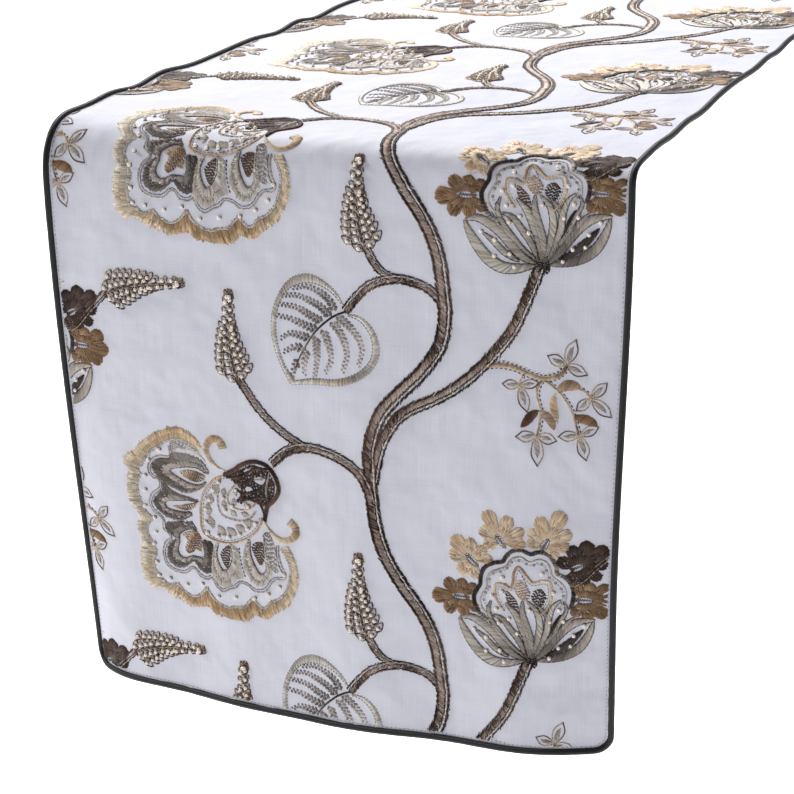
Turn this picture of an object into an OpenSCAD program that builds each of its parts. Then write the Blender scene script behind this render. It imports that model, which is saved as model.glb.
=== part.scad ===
// Table runner laid across a table, with both ends hanging.
// Embroidered face cloth, interlining and lining, bound with piping on all four edges.
// Origin: underside of the runner, at the middle of the table top. +Y runs along the length, +Z is up.

/* [Runner] */
// Width over the piping
runner_w = 406; // [330:1:460]
// Length of the cloth laid out flat, hem to hem
flat_l = 2286; // [1800:1:2800]
// Height of each hanging end, from the table top down to the hem
drop_h = 400; // [340:1:480]
// Inner radius of the soft fold over the table edge
fold_r = 26; // [20:1:34]
// Radius of the four corners of the cloth
corner_r = 9; // [6:1:14]

/* [Layers] */
// Thickness of the lining, which lies on the table
lining_t = 0.5; // [0.4:0.1:0.8]
// Thickness of the interlining and of the piping flange beside it
inter_t = 0.5; // [0.4:0.1:0.8]
// Thickness of the face cloth
face_t = 0.8; // [0.6:0.1:1.2]
// Height of the stitches above the face cloth
stitch_t = 0.6; // [0.4:0.1:1]

/* [Piping] */
// Outer diameter of the covered piping
pipe_d = 4.4; // [3.6:0.1:5]
// Diameter of the cord inside the cover
cord_d = 3.2; // [2.4:0.1:3.4]
// Width of the flange that is sewn between the layers
flange_w = 8; // [5:1:12]

/* [Embroidery] */
// Length of one repeat of the pattern
repeat_l = 268; // [250:1:300]
// Width of the main vine
vine_w = 9; // [6:0.5:11]
// Diameter of the pearls
pearl_d = 2.2; // [1.6:0.1:2.4]

/* [Hidden] */
gap = 0.05;                                   // sewing clearance between layers and piping
clear = 1.2;                                  // clearance between neighbouring motifs
cloth_t = lining_t + inter_t + face_t;
mid_r = fold_r + cloth_t / 2;                 // neutral radius of the fold
arc_l = PI / 2 * mid_r;                       // flat length taken up by one fold
run_l = drop_h - fold_r;                      // straight, hanging part of one end
span_l = flat_l - 2 * (run_l + arc_l);        // part that lies on the table
pipe_r = pipe_d / 2;
edge_x = runner_w / 2 - pipe_d - gap;         // half width of the layers
seam_x = edge_x - flange_w;                   // half width of the interlining
pipe_x = runner_w / 2 - pipe_r;               // centre line of the side piping
pipe_in = pipe_d + gap;                       // from the outer edge to the layers
thread_in = pipe_in + 4;                      // from the outer edge to the nearest embroidery
pipe_bend = corner_r + pipe_r;                // centre-line radius of the piping at a corner
face_z = lining_t + inter_t;                  // underside of the face cloth
top_z = cloth_t;                              // upper side of the face cloth
stitch_w = 0.7;                               // width of the seam stitches
stitch_l = 3;                                 // length of one seam stitch
stitch_pitch = 12;                            // spacing of the seam stitches that are drawn
front_v = 0;                                  // flat position of the front hem
span_v = run_l + arc_l;                       // flat position of the start of the table top
back_v = span_v + span_l + arc_l;             // flat position of the start of the back end
$fn = 48;

// ---- Colours ----
LINEN = [0.86, 0.86, 0.88];
LINING = [0.80, 0.79, 0.78];
WADDING = [0.93, 0.92, 0.88];
CHARCOAL = [0.16, 0.16, 0.17];
CORD = [0.85, 0.82, 0.74];
BROWN = [0.36, 0.27, 0.20];
CREAM = [0.84, 0.79, 0.68];
GOLD = [0.78, 0.66, 0.48];
SILVER = [0.66, 0.63, 0.57];
TAN = [0.70, 0.56, 0.40];
PEARL = [0.90, 0.86, 0.78];

// ---- Places: flat cloth coordinates (across, along, out of the cloth) to the draped runner ----
module on_span() { translate([0, -span_l / 2, 0]) children(); }
module on_front() { translate([0, -span_l / 2 - fold_r, -drop_h]) rotate([90, 0, 0]) children(); }
module on_back() { translate([0, span_l / 2 + fold_r, -fold_r]) rotate([-90, 0, 0]) children(); }
// A hanging end drawn from its hem, put on the back
module on_back_hem() { on_back() translate([0, run_l, 0]) mirror([0, 1, 0]) children(); }
// A section drawn as (across, out of the cloth), swept round the front or the back fold
module front_fold() {
    translate([0, -span_l / 2, -fold_r]) rotate([0, -90, 180])
        rotate_extrude(angle = 90) translate([fold_r, 0]) mirror([1, 0]) rotate(90) children();
}
module back_fold() { mirror([0, 1, 0]) front_fold() children(); }

// ---- Cloth layers ----
module span_layer(half_w, z, t) {
    on_span() translate([-half_w, 0, z]) cube([2 * half_w, span_l, t]);
}
// Hanging end with two rounded corners at the hem; inset is the distance from the outer edge
module end_outline(inset, r) {
    half_w = runner_w / 2 - inset;
    translate([-half_w, inset + r]) square([2 * half_w, run_l - inset - r]);
    translate([-half_w + r, inset]) square([2 * (half_w - r), r + 1]);
    for (side = [-1, 1]) translate([side * (half_w - r), inset + r]) circle(r = r);
}
module end_layer(inset, r, z, t) { translate([0, 0, z]) linear_extrude(t) end_outline(inset, r); }
module fold_section(half_w, z, t) { translate([-half_w, z]) square([2 * half_w, t]); }

// ---- Piping ----
module side_section(r_out, r_in) {
    for (side = [-1, 1]) translate([side * pipe_x, pipe_r]) difference() {
        circle(r = r_out);
        if (r_in > 0) circle(r = r_in);
    }
}
module cover_section() {
    for (side = [-1, 1]) translate([side * pipe_x, pipe_r]) difference() {
        union() {
            circle(r = pipe_r);
            translate([side > 0 ? seam_x + gap - pipe_x : 1.5, lining_t - pipe_r])
                square([pipe_x - 1.5 - seam_x - gap, inter_t]);
        }
        circle(r = cord_d / 2 + gap);
    }
}
module cord_section() { side_section(cord_d / 2, 0); }
// A round section carried down one side, across the hem and up the other side
module hem_tube(r) {
    z = pipe_r;
    bend_x = pipe_x - pipe_bend;
    for (side = [-1, 1]) {
        translate([side * pipe_x, pipe_r + pipe_bend, z]) rotate([-90, 0, 0])
            cylinder(r = r, h = run_l - pipe_r - pipe_bend);
        translate([side * bend_x, pipe_r + pipe_bend, z]) rotate([0, 0, side > 0 ? -90 : 180])
            rotate_extrude(angle = 90) translate([pipe_bend, 0]) circle(r = r);
    }
    translate([-bend_x, pipe_r, z]) rotate([0, 90, 0]) cylinder(r = r, h = 2 * bend_x);
}
module hem_flange() {
    translate([0, 0, lining_t]) linear_extrude(inter_t) difference() {
        end_outline(pipe_r + 1.5, pipe_bend - 1.5);
        translate([0, 0.01]) end_outline(pipe_in + flange_w - gap, 4);
        translate([-seam_x - gap, run_l - 1]) square([2 * (seam_x + gap), 2]);
    }
}
module hem_cover() {
    difference() {
        union() {
            hem_tube(pipe_r);
            hem_flange();
        }
        hem_tube(cord_d / 2 + gap);
    }
}

// ---- Seam stitches just inside the piping ----
module seam_stitch() { translate([-stitch_w / 2, 0, 0]) cube([stitch_w, stitch_l, 0.4]); }
module side_stitches(l) {
    for (side = [-1, 1], y = [stitch_pitch / 2 : stitch_pitch : l - stitch_pitch / 2])
        translate([side * (edge_x - 1.5), y, top_z]) seam_stitch();
}
module end_stitches() {
    translate([0, corner_r + stitch_pitch, 0]) side_stitches(run_l - corner_r - stitch_pitch);
    for (x = [-edge_x + 20 : stitch_pitch : edge_x - 20])
        translate([x, pipe_in + 1.5, top_z]) rotate([0, 0, -90]) seam_stitch();
}

// ---- Embroidery: curves and leaves in flat coordinates ----
function bez(p, t) = let (s = 1 - t)
    s*s*s * p[0] + 3*s*s*t * p[1] + 3*s*t*t * p[2] + t*t*t * p[3];
function bez_dir(p, t) = let (s = 1 - t, d = s*s * (p[1] - p[0]) + 2*s*t * (p[2] - p[1]) + t*t * (p[3] - p[2]))
    d / norm(d);
function side_of(p, t, w) = let (d = bez_dir(p, t)) bez(p, t) + w / 2 * [-d[1], d[0]];
// A strand of even width along a cubic curve, tapered from w0 to w1
module strand(p, w0, w1, n = 8) {
    polygon(concat([for (i = [0:n]) side_of(p, i / n, w0 + (w1 - w0) * i / n)],
        [for (i = [n:-1:0]) side_of(p, i / n, -w0 - (w1 - w0) * i / n)]));
}
// The wave of the main vine
function vine_x(v) = let (a = 360 * (v - 42) / repeat_l) 55 + 26.5 * cos(a) + 2.5 * cos(2 * a);
module main_vine(v0, v1) {
    n = ceil((v1 - v0) / 12);
    polygon(concat([for (i = [0:n]) let (v = v0 + (v1 - v0) * i / n) [vine_x(v) - vine_w / 2, v]],
        [for (i = [n:-1:0]) let (v = v0 + (v1 - v0) * i / n) [vine_x(v) + vine_w / 2, v]]));
}
// An almond between two arcs, l long and w wide, standing on the origin along +Y
module almond(l, w) {
    r = (l * l + w * w) / (4 * w);
    intersection() {
        translate([r - w / 2, l / 2]) circle(r = r);
        translate([w / 2 - r, l / 2]) circle(r = r);
    }
}
module ring(r_out, r_in) {
    difference() {
        circle(r = r_out);
        circle(r = r_in);
    }
}
// Heart on its point: the notch is at the origin and the point l below it
module heart(s) {
    for (side = [-1, 1]) translate([side * 0.42 * s, -0.1 * s]) circle(r = 0.5 * s);
    polygon([[-0.86 * s, -0.35 * s], [0.86 * s, -0.35 * s], [0, -1.35 * s]]);
    translate([-0.3 * s, -0.6 * s]) square([0.6 * s, 0.6 * s]);
}

// Draws its children once a repeat, where a motif that reaches from lo to hi fits between v0 and v1
module each_repeat(v0, v1, lo, hi) {
    for (k = [-1 : ceil(flat_l / repeat_l)])
        if (k * repeat_l + lo > v0 + thread_in && k * repeat_l + hi < v1 - thread_in)
            translate([0, k * repeat_l - v0]) children();
}
module stitched(h = stitch_t) { translate([0, 0, top_z]) linear_extrude(h) children(); }

module vines(v0, v1) {
    stitched() {
        translate([0, -v0]) main_vine(max(v0, thread_in), min(v1, flat_l - thread_in));
        each_repeat(v0, v1, -67, 62) strand([[36, -66], [60, -30], [130, -10], [143, 58]], 7, 5);
        each_repeat(v0, v1, 160, 205) strand([[31, 168], [12, 178], [-14, 206], [-42, 182]], 7, 6);
        each_repeat(v0, v1, 190, 240) strand([[-16, 194], [-40, 200], [-52, 212], [-58, 236]], 5, 3);
        each_repeat(v0, v1, 28, 50) strand([[79, 36], [62, 52], [42, 52], [26, 38]], 5, 4);
        each_repeat(v0, v1, 30, 70) strand([[81, 34], [60, 38], [44, 48], [36, 66]], 5, 3);
        each_repeat(v0, v1, -2, 6) strand([[112, 0], [120, 4], [132, 4], [142, -1]], 3, 2);
    }
}
module heart_leaf() {
    translate([14, 29]) rotate(-42) translate([0, 6]) {
        difference() {
            heart(38);
            translate([0, -5.5]) heart(31.5);
        }
        translate([-0.6, -44]) square([1.2, 32]);
        for (side = [-1, 1], i = [0 : 3])
            translate([side * 2.5, -16 - 7 * i]) rotate(side * -55) translate([-1, 0]) square([2, 18 - 3 * i]);
    }
}
module heart_leaves(v0, v1) {
    stitched() each_repeat(v0, v1, -40, 62) translate([-3, -8]) heart_leaf();
}
// Scalloped border of the fan flower, open at the calyx
module fan_outline(r) {
    circle(r = r);
    for (a = [0 : 30 : 330]) rotate(a) translate([r - 4, 0]) circle(r = 0.27 * r);
}
module fan_border() {
    difference() {
        fan_outline(60);
        fan_outline(52);
        translate([14, 14]) rotate(45) translate([0, -26]) square([90, 52]);
    }
}
module fan_petals_shape() {
    for (a = [-100, -60, 60, 100]) rotate(225 + a - 90) translate([0, 15]) almond(30, 12);
    for (a = [-28, 0, 28]) rotate(225 + a - 90) translate([0, 12]) almond(36, 15);
    translate([4, 4]) ring(10, 6);
    translate([4, 4]) circle(r = 4.5);
    translate([22, 22]) circle(r = 8);
}
module fan_borders(v0, v1) {
    stitched() each_repeat(v0, v1, 54, 202) translate([-90, 128]) fan_border();
}
module fan_petals(v0, v1) {
    stitched() each_repeat(v0, v1, 54, 202) translate([-90, 128]) fan_petals_shape();
}
// Crown flower: a ringed dome on five petals and two sepals
module crown_bloom() {
    difference() {
        circle(r = 32);
        circle(r = 28);
        translate([-40, -40]) square([80, 40]);
    }
    translate([0, -34]) {
        for (a = [-44, -22, 0, 22, 44]) rotate(a) translate([0, 9]) almond(44 - 0.35 * abs(a), 6.5);
        for (side = [-1, 1]) rotate(side * -75) translate([0, 5]) almond(36, 11);
    }
}
module floret() {
    difference() {
        for (a = [0 : 60 : 300]) rotate(a) translate([6.5, 0]) circle(r = 4);
        rotate(30) translate([0, -6]) almond(12, 4.5);
    }
    ring(7.2, 5.6);
}
module crown_floret_ring() {
    for (a = [-75, -45, -15, 15, 45, 75]) rotate(a) translate([0, 45.5 + clear]) floret();
}
module crown_blooms(v0, v1) {
    stitched() each_repeat(v0, v1, 62, 166) translate([141, 100]) crown_bloom();
}
module crown_florets(v0, v1) {
    stitched() each_repeat(v0, v1, 62, 166) translate([141, 100]) crown_floret_ring();
}
// A flower spike: a stalk with looped buds, each holding a pearl
BUDS = [for (i = [0 : 5], side = [-1, 1]) [side * (5.2 - 0.35 * i), 6 + 7 * i]];
SPIKE_PLACES = [[-59, 240, 14], [33, 70, 12], [-186, 3, -72]];
module spike() {
    square([1.2, 48]);
    for (b = BUDS) translate(b) ring(2.6, pearl_d / 2 + 0.3);
    for (b = BUDS) translate([b[0] > 0 ? 0.6 : b[0] + 2, b[1] - 0.5]) square([abs(b[0]) - 2, 1]);
}
module spikes(v0, v1) {
    stitched() for (p = SPIKE_PLACES)
        each_repeat(v0, v1, p[1] - 4, p[1] + 52) translate([p[0], p[1]]) rotate(p[2]) spike();
}
module trefoil_leaf() {
    for (a = [-65, 0, 65]) rotate(a) translate([0, 1]) almond(12, 6);
}
TREFOILS = [[160, 6, 0], [136, -18, 110], [180, -16, -70], [148, -42, 160], [172, -40, -160]];
module trefoils(v0, v1) {
    stitched() each_repeat(v0, v1, -58, 22) {
        for (p = TREFOILS) translate([p[0], p[1]]) rotate(p[2]) trefoil_leaf();
        strand([[144.5, -2], [150, -6], [156, -14], [158, -30]], 2, 1.5, 4);
    }
}
module pearl() { translate([0, 0, top_z + pearl_d / 2]) sphere(d = pearl_d, $fn = 24); }
module pearls(v0, v1) {
    for (p = SPIKE_PLACES)
        each_repeat(v0, v1, p[1] - 4, p[1] + 52) translate([p[0], p[1]]) rotate(p[2])
            for (b = BUDS) translate(b) pearl();
    each_repeat(v0, v1, 62, 166) translate([141, 100])
        for (a = [-72 : 18 : 72]) rotate(a) translate([0, 25]) pearl();
}

// ---- Sub-parts on the table top ----
module span_face() { color(LINEN) span_layer(edge_x, face_z, face_t); }
module span_interlining() { color(WADDING) span_layer(seam_x, lining_t, inter_t); }
module span_lining() { color(LINING) span_layer(edge_x, 0, lining_t); }
module span_sweep() { on_span() rotate([90, 0, 0]) mirror([0, 0, 1]) linear_extrude(span_l) children(); }
module span_piping_cover() { color(CHARCOAL) span_sweep() cover_section(); }
module span_piping_cord() { color(CORD) span_sweep() cord_section(); }
module span_seam_stitches() { color(CHARCOAL) on_span() side_stitches(span_l); }
module span_vines() { color(BROWN) on_span() vines(span_v, span_v + span_l); }
module span_heart_leaves() { color(CREAM) on_span() heart_leaves(span_v, span_v + span_l); }
module span_fan_borders() { color(GOLD) on_span() fan_borders(span_v, span_v + span_l); }
module span_fan_petals() { color(SILVER) on_span() fan_petals(span_v, span_v + span_l); }
module span_crown_blooms() { color(SILVER) on_span() crown_blooms(span_v, span_v + span_l); }
module span_crown_florets() { color(TAN) on_span() crown_florets(span_v, span_v + span_l); }
module span_spikes() { color(TAN) on_span() spikes(span_v, span_v + span_l); }
module span_trefoils() { color(CREAM) on_span() trefoils(span_v, span_v + span_l); }
module span_pearls() { color(PEARL) on_span() pearls(span_v, span_v + span_l); }

// ---- Sub-parts of the front end ----
module front_face() { color(LINEN) on_front() end_layer(pipe_in, corner_r, face_z, face_t); }
module front_interlining() {
    color(WADDING) on_front() end_layer(pipe_in + flange_w, 4, lining_t, inter_t);
}
module front_lining() { color(LINING) on_front() end_layer(pipe_in, corner_r, 0, lining_t); }
module front_piping_cover() { color(CHARCOAL) on_front() hem_cover(); }
module front_piping_cord() { color(CORD) on_front() hem_tube(cord_d / 2); }
module front_seam_stitches() { color(CHARCOAL) on_front() end_stitches(); }
module front_vines() { color(BROWN) on_front() vines(front_v, run_l); }
module front_heart_leaves() { color(CREAM) on_front() heart_leaves(front_v, run_l); }
module front_fan_borders() { color(GOLD) on_front() fan_borders(front_v, run_l); }
module front_fan_petals() { color(SILVER) on_front() fan_petals(front_v, run_l); }
module front_crown_blooms() { color(SILVER) on_front() crown_blooms(front_v, run_l); }
module front_crown_florets() { color(TAN) on_front() crown_florets(front_v, run_l); }
module front_spikes() { color(TAN) on_front() spikes(front_v, run_l); }
module front_trefoils() { color(CREAM) on_front() trefoils(front_v, run_l); }
module front_pearls() { color(PEARL) on_front() pearls(front_v, run_l); }

// ---- Sub-parts of the back end ----
module back_face() { color(LINEN) on_back_hem() end_layer(pipe_in, corner_r, face_z, face_t); }
module back_interlining() {
    color(WADDING) on_back_hem() end_layer(pipe_in + flange_w, 4, lining_t, inter_t);
}
module back_lining() { color(LINING) on_back_hem() end_layer(pipe_in, corner_r, 0, lining_t); }
module back_piping_cover() { color(CHARCOAL) on_back_hem() hem_cover(); }
module back_piping_cord() { color(CORD) on_back_hem() hem_tube(cord_d / 2); }
module back_seam_stitches() { color(CHARCOAL) on_back_hem() end_stitches(); }
module back_vines() { color(BROWN) on_back() vines(back_v, flat_l); }
module back_heart_leaves() { color(CREAM) on_back() heart_leaves(back_v, flat_l); }
module back_fan_borders() { color(GOLD) on_back() fan_borders(back_v, flat_l); }
module back_fan_petals() { color(SILVER) on_back() fan_petals(back_v, flat_l); }
module back_crown_blooms() { color(SILVER) on_back() crown_blooms(back_v, flat_l); }
module back_crown_florets() { color(TAN) on_back() crown_florets(back_v, flat_l); }
module back_spikes() { color(TAN) on_back() spikes(back_v, flat_l); }
module back_trefoils() { color(CREAM) on_back() trefoils(back_v, flat_l); }
module back_pearls() { color(PEARL) on_back() pearls(back_v, flat_l); }

// ---- Folds over the table edges ----
module front_fold_face() { color(LINEN) front_fold() fold_section(edge_x, face_z, face_t); }
module front_fold_interlining() { color(WADDING) front_fold() fold_section(seam_x, lining_t, inter_t); }
module front_fold_lining() { color(LINING) front_fold() fold_section(edge_x, 0, lining_t); }
module front_fold_piping_cover() { color(CHARCOAL) front_fold() cover_section(); }
module front_fold_piping_cord() { color(CORD) front_fold() cord_section(); }
module back_fold_face() { color(LINEN) back_fold() fold_section(edge_x, face_z, face_t); }
module back_fold_interlining() { color(WADDING) back_fold() fold_section(seam_x, lining_t, inter_t); }
module back_fold_lining() { color(LINING) back_fold() fold_section(edge_x, 0, lining_t); }
module back_fold_piping_cover() { color(CHARCOAL) back_fold() cover_section(); }
module back_fold_piping_cord() { color(CORD) back_fold() cord_section(); }

span_face();
span_interlining();
span_lining();
span_piping_cover();
span_piping_cord();
span_seam_stitches();
span_vines();
span_heart_leaves();
span_fan_borders();
span_fan_petals();
span_crown_blooms();
span_crown_florets();
span_spikes();
span_trefoils();
span_pearls();
front_face();
front_interlining();
front_lining();
front_piping_cover();
front_piping_cord();
front_seam_stitches();
front_vines();
front_heart_leaves();
front_fan_borders();
front_fan_petals();
front_crown_blooms();
front_crown_florets();
front_spikes();
front_trefoils();
front_pearls();
back_face();
back_interlining();
back_lining();
back_piping_cover();
back_piping_cord();
back_seam_stitches();
back_vines();
back_heart_leaves();
back_fan_borders();
back_fan_petals();
back_crown_blooms();
back_crown_florets();
back_spikes();
back_trefoils();
back_pearls();
front_fold_face();
front_fold_interlining();
front_fold_lining();
front_fold_piping_cover();
front_fold_piping_cord();
back_fold_face();
back_fold_interlining();
back_fold_lining();
back_fold_piping_cover();
back_fold_piping_cord();
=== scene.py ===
"""Embroidered table runner, lying across a table top with both ends hanging.

The cloth is drawn flat, in millimetres: u runs across the runner from its centre line and v along it
from the front hem. Drape turns a flat place into a place on the hanging runner, and everything else, the
cloth, the piping, every stitch and every bead, is laid on through it.
"""

import logging
import math
from dataclasses import dataclass, field
from enum import Enum
from typing import Callable, Iterable, Optional, Sequence

import bpy
import numpy as np
from mathutils import Matrix, Vector


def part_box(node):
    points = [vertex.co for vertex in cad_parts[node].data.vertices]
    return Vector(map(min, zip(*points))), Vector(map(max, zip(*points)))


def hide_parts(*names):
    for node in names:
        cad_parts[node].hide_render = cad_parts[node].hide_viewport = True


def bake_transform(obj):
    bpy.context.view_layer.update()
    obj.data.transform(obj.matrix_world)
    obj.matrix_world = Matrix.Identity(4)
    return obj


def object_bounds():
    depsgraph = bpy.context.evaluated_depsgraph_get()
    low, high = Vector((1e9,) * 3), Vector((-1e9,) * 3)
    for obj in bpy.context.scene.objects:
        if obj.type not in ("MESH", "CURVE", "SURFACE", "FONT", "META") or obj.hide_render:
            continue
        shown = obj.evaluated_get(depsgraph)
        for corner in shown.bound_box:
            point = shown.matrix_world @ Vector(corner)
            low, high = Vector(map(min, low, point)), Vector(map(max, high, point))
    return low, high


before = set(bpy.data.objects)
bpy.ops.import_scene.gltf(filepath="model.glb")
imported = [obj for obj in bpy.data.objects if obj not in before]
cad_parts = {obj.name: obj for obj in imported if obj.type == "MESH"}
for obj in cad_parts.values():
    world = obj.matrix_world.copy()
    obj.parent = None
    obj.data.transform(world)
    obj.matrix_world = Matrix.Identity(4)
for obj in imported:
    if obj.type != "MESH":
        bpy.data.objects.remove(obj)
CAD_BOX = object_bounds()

LOG = logging.getLogger("table_runner")
MM = 0.001
SEED = 41


class End(Enum):
    """The two halves of the runner, each with one hanging end."""

    FRONT = "front"
    BACK = "back"

    @property
    def body(self) -> str:
        """The name of a body for the hanging end. Nothing here uses it."""
        return f"{self.value}_drop"

    @property
    def side(self) -> int:
        """-1 towards the front and 1 towards the back."""
        return -1 if self is End.FRONT else 1


def srgb(red: int, green: int, blue: int) -> tuple[float, float, float]:
    """Turns a display colour into the linear colour that a shader takes.

    Args:
        red: Red from 0 to 255.
        green: Green from 0 to 255.
        blue: Blue from 0 to 255.

    Returns:
        The linear colour.
    """
    parts = []
    for value in (red, green, blue):
        share = value / 255
        parts.append(share / 12.92 if share <= 0.04045 else ((share + 0.055) / 1.055) ** 2.4)
    return tuple(parts)


class Thread(Enum):
    """The embroidery threads, as display colours."""

    UMBER = (44, 29, 24)
    BROWN = (120, 92, 76)
    TAUPE = (172, 146, 128)
    MOCHA = (214, 190, 174)
    COUCHING = (244, 232, 222)
    CREAM = (248, 242, 228)
    STRAW = (240, 222, 196)
    GOLD = (218, 188, 150)
    LIGHT_TAN = (234, 204, 172)
    SILVER = (226, 219, 210)
    ASH = (204, 194, 185)
    GREY = (172, 161, 154)
    SLATE = (128, 118, 112)
    PEAT = (92, 82, 76)
    COCOA = (128, 96, 66)
    BARK = (92, 68, 56)
    DARK = (54, 34, 24)
    OLIVE = (176, 142, 104)
    CHARCOAL = (40, 39, 41)

    @property
    def linear(self) -> np.ndarray:
        """The thread's linear colour."""
        return np.array(srgb(*self.value))


# ---------------------------------------------------------------------------------------------------
# Shader tools
# ---------------------------------------------------------------------------------------------------


class Wire:
    """One output of a shader graph, with the arithmetic of Python."""

    def __init__(self, graph: "Graph", socket: bpy.types.NodeSocket) -> None:
        """Wraps a socket.

        Args:
            graph: The graph that the socket is in.
            socket: The output socket.
        """
        self.graph = graph
        self.socket = socket

    def _math(self, operation: str, *values: "Wire | float") -> "Wire":
        """Adds one Math node.

        Args:
            operation: The Math node's operation.
            values: Its inputs, in order.

        Returns:
            The result.
        """
        return self.graph.add(
            "ShaderNodeMath", {"operation": operation}, dict(enumerate(values))
        )

    def __add__(self, other: "Wire | float") -> "Wire":
        """self + other."""
        return self._math("ADD", self, other)

    __radd__ = __add__

    def __sub__(self, other: "Wire | float") -> "Wire":
        """self - other."""
        return self._math("SUBTRACT", self, other)

    def __rsub__(self, other: float) -> "Wire":
        """other - self."""
        return self._math("SUBTRACT", other, self)

    def __mul__(self, other: "Wire | float") -> "Wire":
        """self * other."""
        return self._math("MULTIPLY", self, other)

    __rmul__ = __mul__

    def __pow__(self, other: float) -> "Wire":
        """self to a power."""
        return self._math("POWER", self, other)

    def sine(self) -> "Wire":
        """The sine of self."""
        return self._math("SINE", self)

    def limited(self) -> "Wire":
        """self held between 0 and 1."""
        return self._math("MINIMUM", self._math("MAXIMUM", self, 0.0), 1.0)


class Graph:
    """A material's node graph, built from one Principled shader."""

    def __init__(self, name: str) -> None:
        """Makes an empty material.

        Args:
            name: The material's name.
        """
        self.material = bpy.data.materials.new(name)
        self.material.use_nodes = True
        self.tree = self.material.node_tree
        self.shader = self.tree.nodes["Principled BSDF"]

    def add(self, kind: str, settings: dict, inputs: dict, output: int | str = 0) -> Wire:
        """Adds any node.

        Args:
            kind: The node's type.
            settings: Its properties, set before its inputs.
            inputs: Values or wires by socket name or number.
            output: The output to return.

        Returns:
            That output.
        """
        node = self.tree.nodes.new(kind)
        stops = settings.pop("stops", None)
        for key, value in settings.items():
            setattr(node, key, value)
        for place, colour in stops or ():
            spare = node.color_ramp.elements[-1]
            spare = spare if spare.position == 1 and place == 1 else node.color_ramp.elements.new(place)
            spare.color = (*colour, 1)
        for key, value in inputs.items():
            self.feed(node.inputs[key], value)
        return Wire(self, node.outputs[output])

    def feed(self, socket: bpy.types.NodeSocket, value: "Wire | float | Sequence[float]") -> None:
        """Links a wire to a socket, or sets the socket's value.

        Args:
            socket: The input socket.
            value: A wire, a number or a colour.
        """
        if isinstance(value, Wire):
            self.tree.links.new(value.socket, socket)
        elif hasattr(value, "__len__") and socket.type == "RGBA" and len(value) == 3:
            socket.default_value = (*value, 1)
        else:
            socket.default_value = value

    def set(self, **values: "Wire | float | Sequence[float]") -> None:
        """Sets the Principled shader's sockets, named with underscores for spaces."""
        for name, value in values.items():
            self.feed(self.shader.inputs[name.replace("_", " ")], value)

    def noise(self, where: Wire, scale: float, detail: float = 3, roughness: float = 0.55) -> Wire:
        """A noise value.

        Args:
            where: The coordinates.
            scale: Its scale.
            detail: How many octaves.
            roughness: How strong the finer octaves are.

        Returns:
            The value, about 0.5.
        """
        inputs = {"Vector": where, "Scale": scale, "Detail": detail, "Roughness": roughness}
        return self.add("ShaderNodeTexNoise", {}, inputs)

    def stretched(self, where: Wire, scale: Sequence[float]) -> Wire:
        """The coordinates, scaled by a different amount each way."""
        return self.add("ShaderNodeMapping", {}, {"Vector": where, "Scale": scale})

    def mix(self, share: "Wire | float", low: object, high: object, blend: str = "MIX") -> Wire:
        """Mixes two colours.

        Args:
            share: How much of the second.
            low: The first colour.
            high: The second colour.
            blend: The way they mix.

        Returns:
            The mixed colour.
        """
        settings = {"data_type": "RGBA", "blend_type": blend}
        return self.add("ShaderNodeMix", settings, {0: share, 6: low, 7: high}, output=2)

    def bump(self, height: Wire, distance: float, base: Optional[Wire] = None) -> Wire:
        """A normal from a height of 0 to 1.

        Args:
            height: The height.
            distance: How many metres tall it is.
            base: A normal that it is added to.

        Returns:
            The normal.
        """
        inputs = {"Height": height, "Distance": distance}
        if base is not None:
            inputs["Normal"] = base
        return self.add("ShaderNodeBump", {}, inputs)

    def uv(self, name: str) -> Wire:
        """The coordinates of a UV map."""
        return self.add("ShaderNodeUVMap", {"uv_map": name}, {})

    def parts(self, vector: Wire) -> tuple[Wire, Wire]:
        """The first two parts of a vector."""
        first = self.add("ShaderNodeSeparateXYZ", {}, {0: vector})
        return first, Wire(self, first.socket.node.outputs[1])


@dataclass(frozen=True)
class WovenFinish:
    """A plain-woven cloth whose map is in metres across and along.

    Attributes:
        name: The material's name.
        colour: Display colour of the cloth.
        slub: Display colour of the thicker yarns.
        pitch_mm: Distance from one yarn to the next.
        relief_mm: Height of the weave.
        sheen: Strength of the cloth's soft sheen.
        pucker_mm: Height of the soft unevenness of the whole cloth.
    """

    name: str
    colour: tuple[int, int, int]
    slub: tuple[int, int, int]
    pitch_mm: float
    relief_mm: float
    sheen: float = 0.15
    pucker_mm: float = 4.0

    def material(self) -> bpy.types.Material:
        """Builds the material.

        Returns:
            The material.
        """
        g = Graph(self.name)
        flat = g.uv("Weave")
        across, along = g.parts(flat)
        turns = math.tau / (self.pitch_mm * MM)
        warp = (across * turns).sine() * 0.5 + 0.5
        weft = (along * turns).sine() * 0.5 + 0.5
        warp_slub = g.noise(g.stretched(flat, (1400, 28, 1)), 1.0, 2)
        weft_slub = g.noise(g.stretched(flat, (34, 1250, 1)), 1.0, 2)
        cloud = g.noise(flat, 26, 2)
        slubs = ((warp_slub * 0.62 + weft_slub * 0.38) - 0.5) * 2.6 + 0.5
        g.set(
            Base_Color=g.mix(
                slubs.limited(),
                g.mix(cloud, srgb(*self.slub), srgb(*self.colour)),
                srgb(*self.colour),
            ),
            Roughness=0.86 - 0.1 * slubs.limited(),
            Normal=g.bump(
                warp * weft * 0.45 + slubs * 0.55, self.relief_mm * MM,
                base=g.bump(g.noise(flat, 26, 2), self.pucker_mm * MM),
            ),
            Sheen_Weight=self.sheen,
            Sheen_Roughness=0.5,
            Specular_IOR_Level=0.25,
        )
        return g.material


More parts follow.
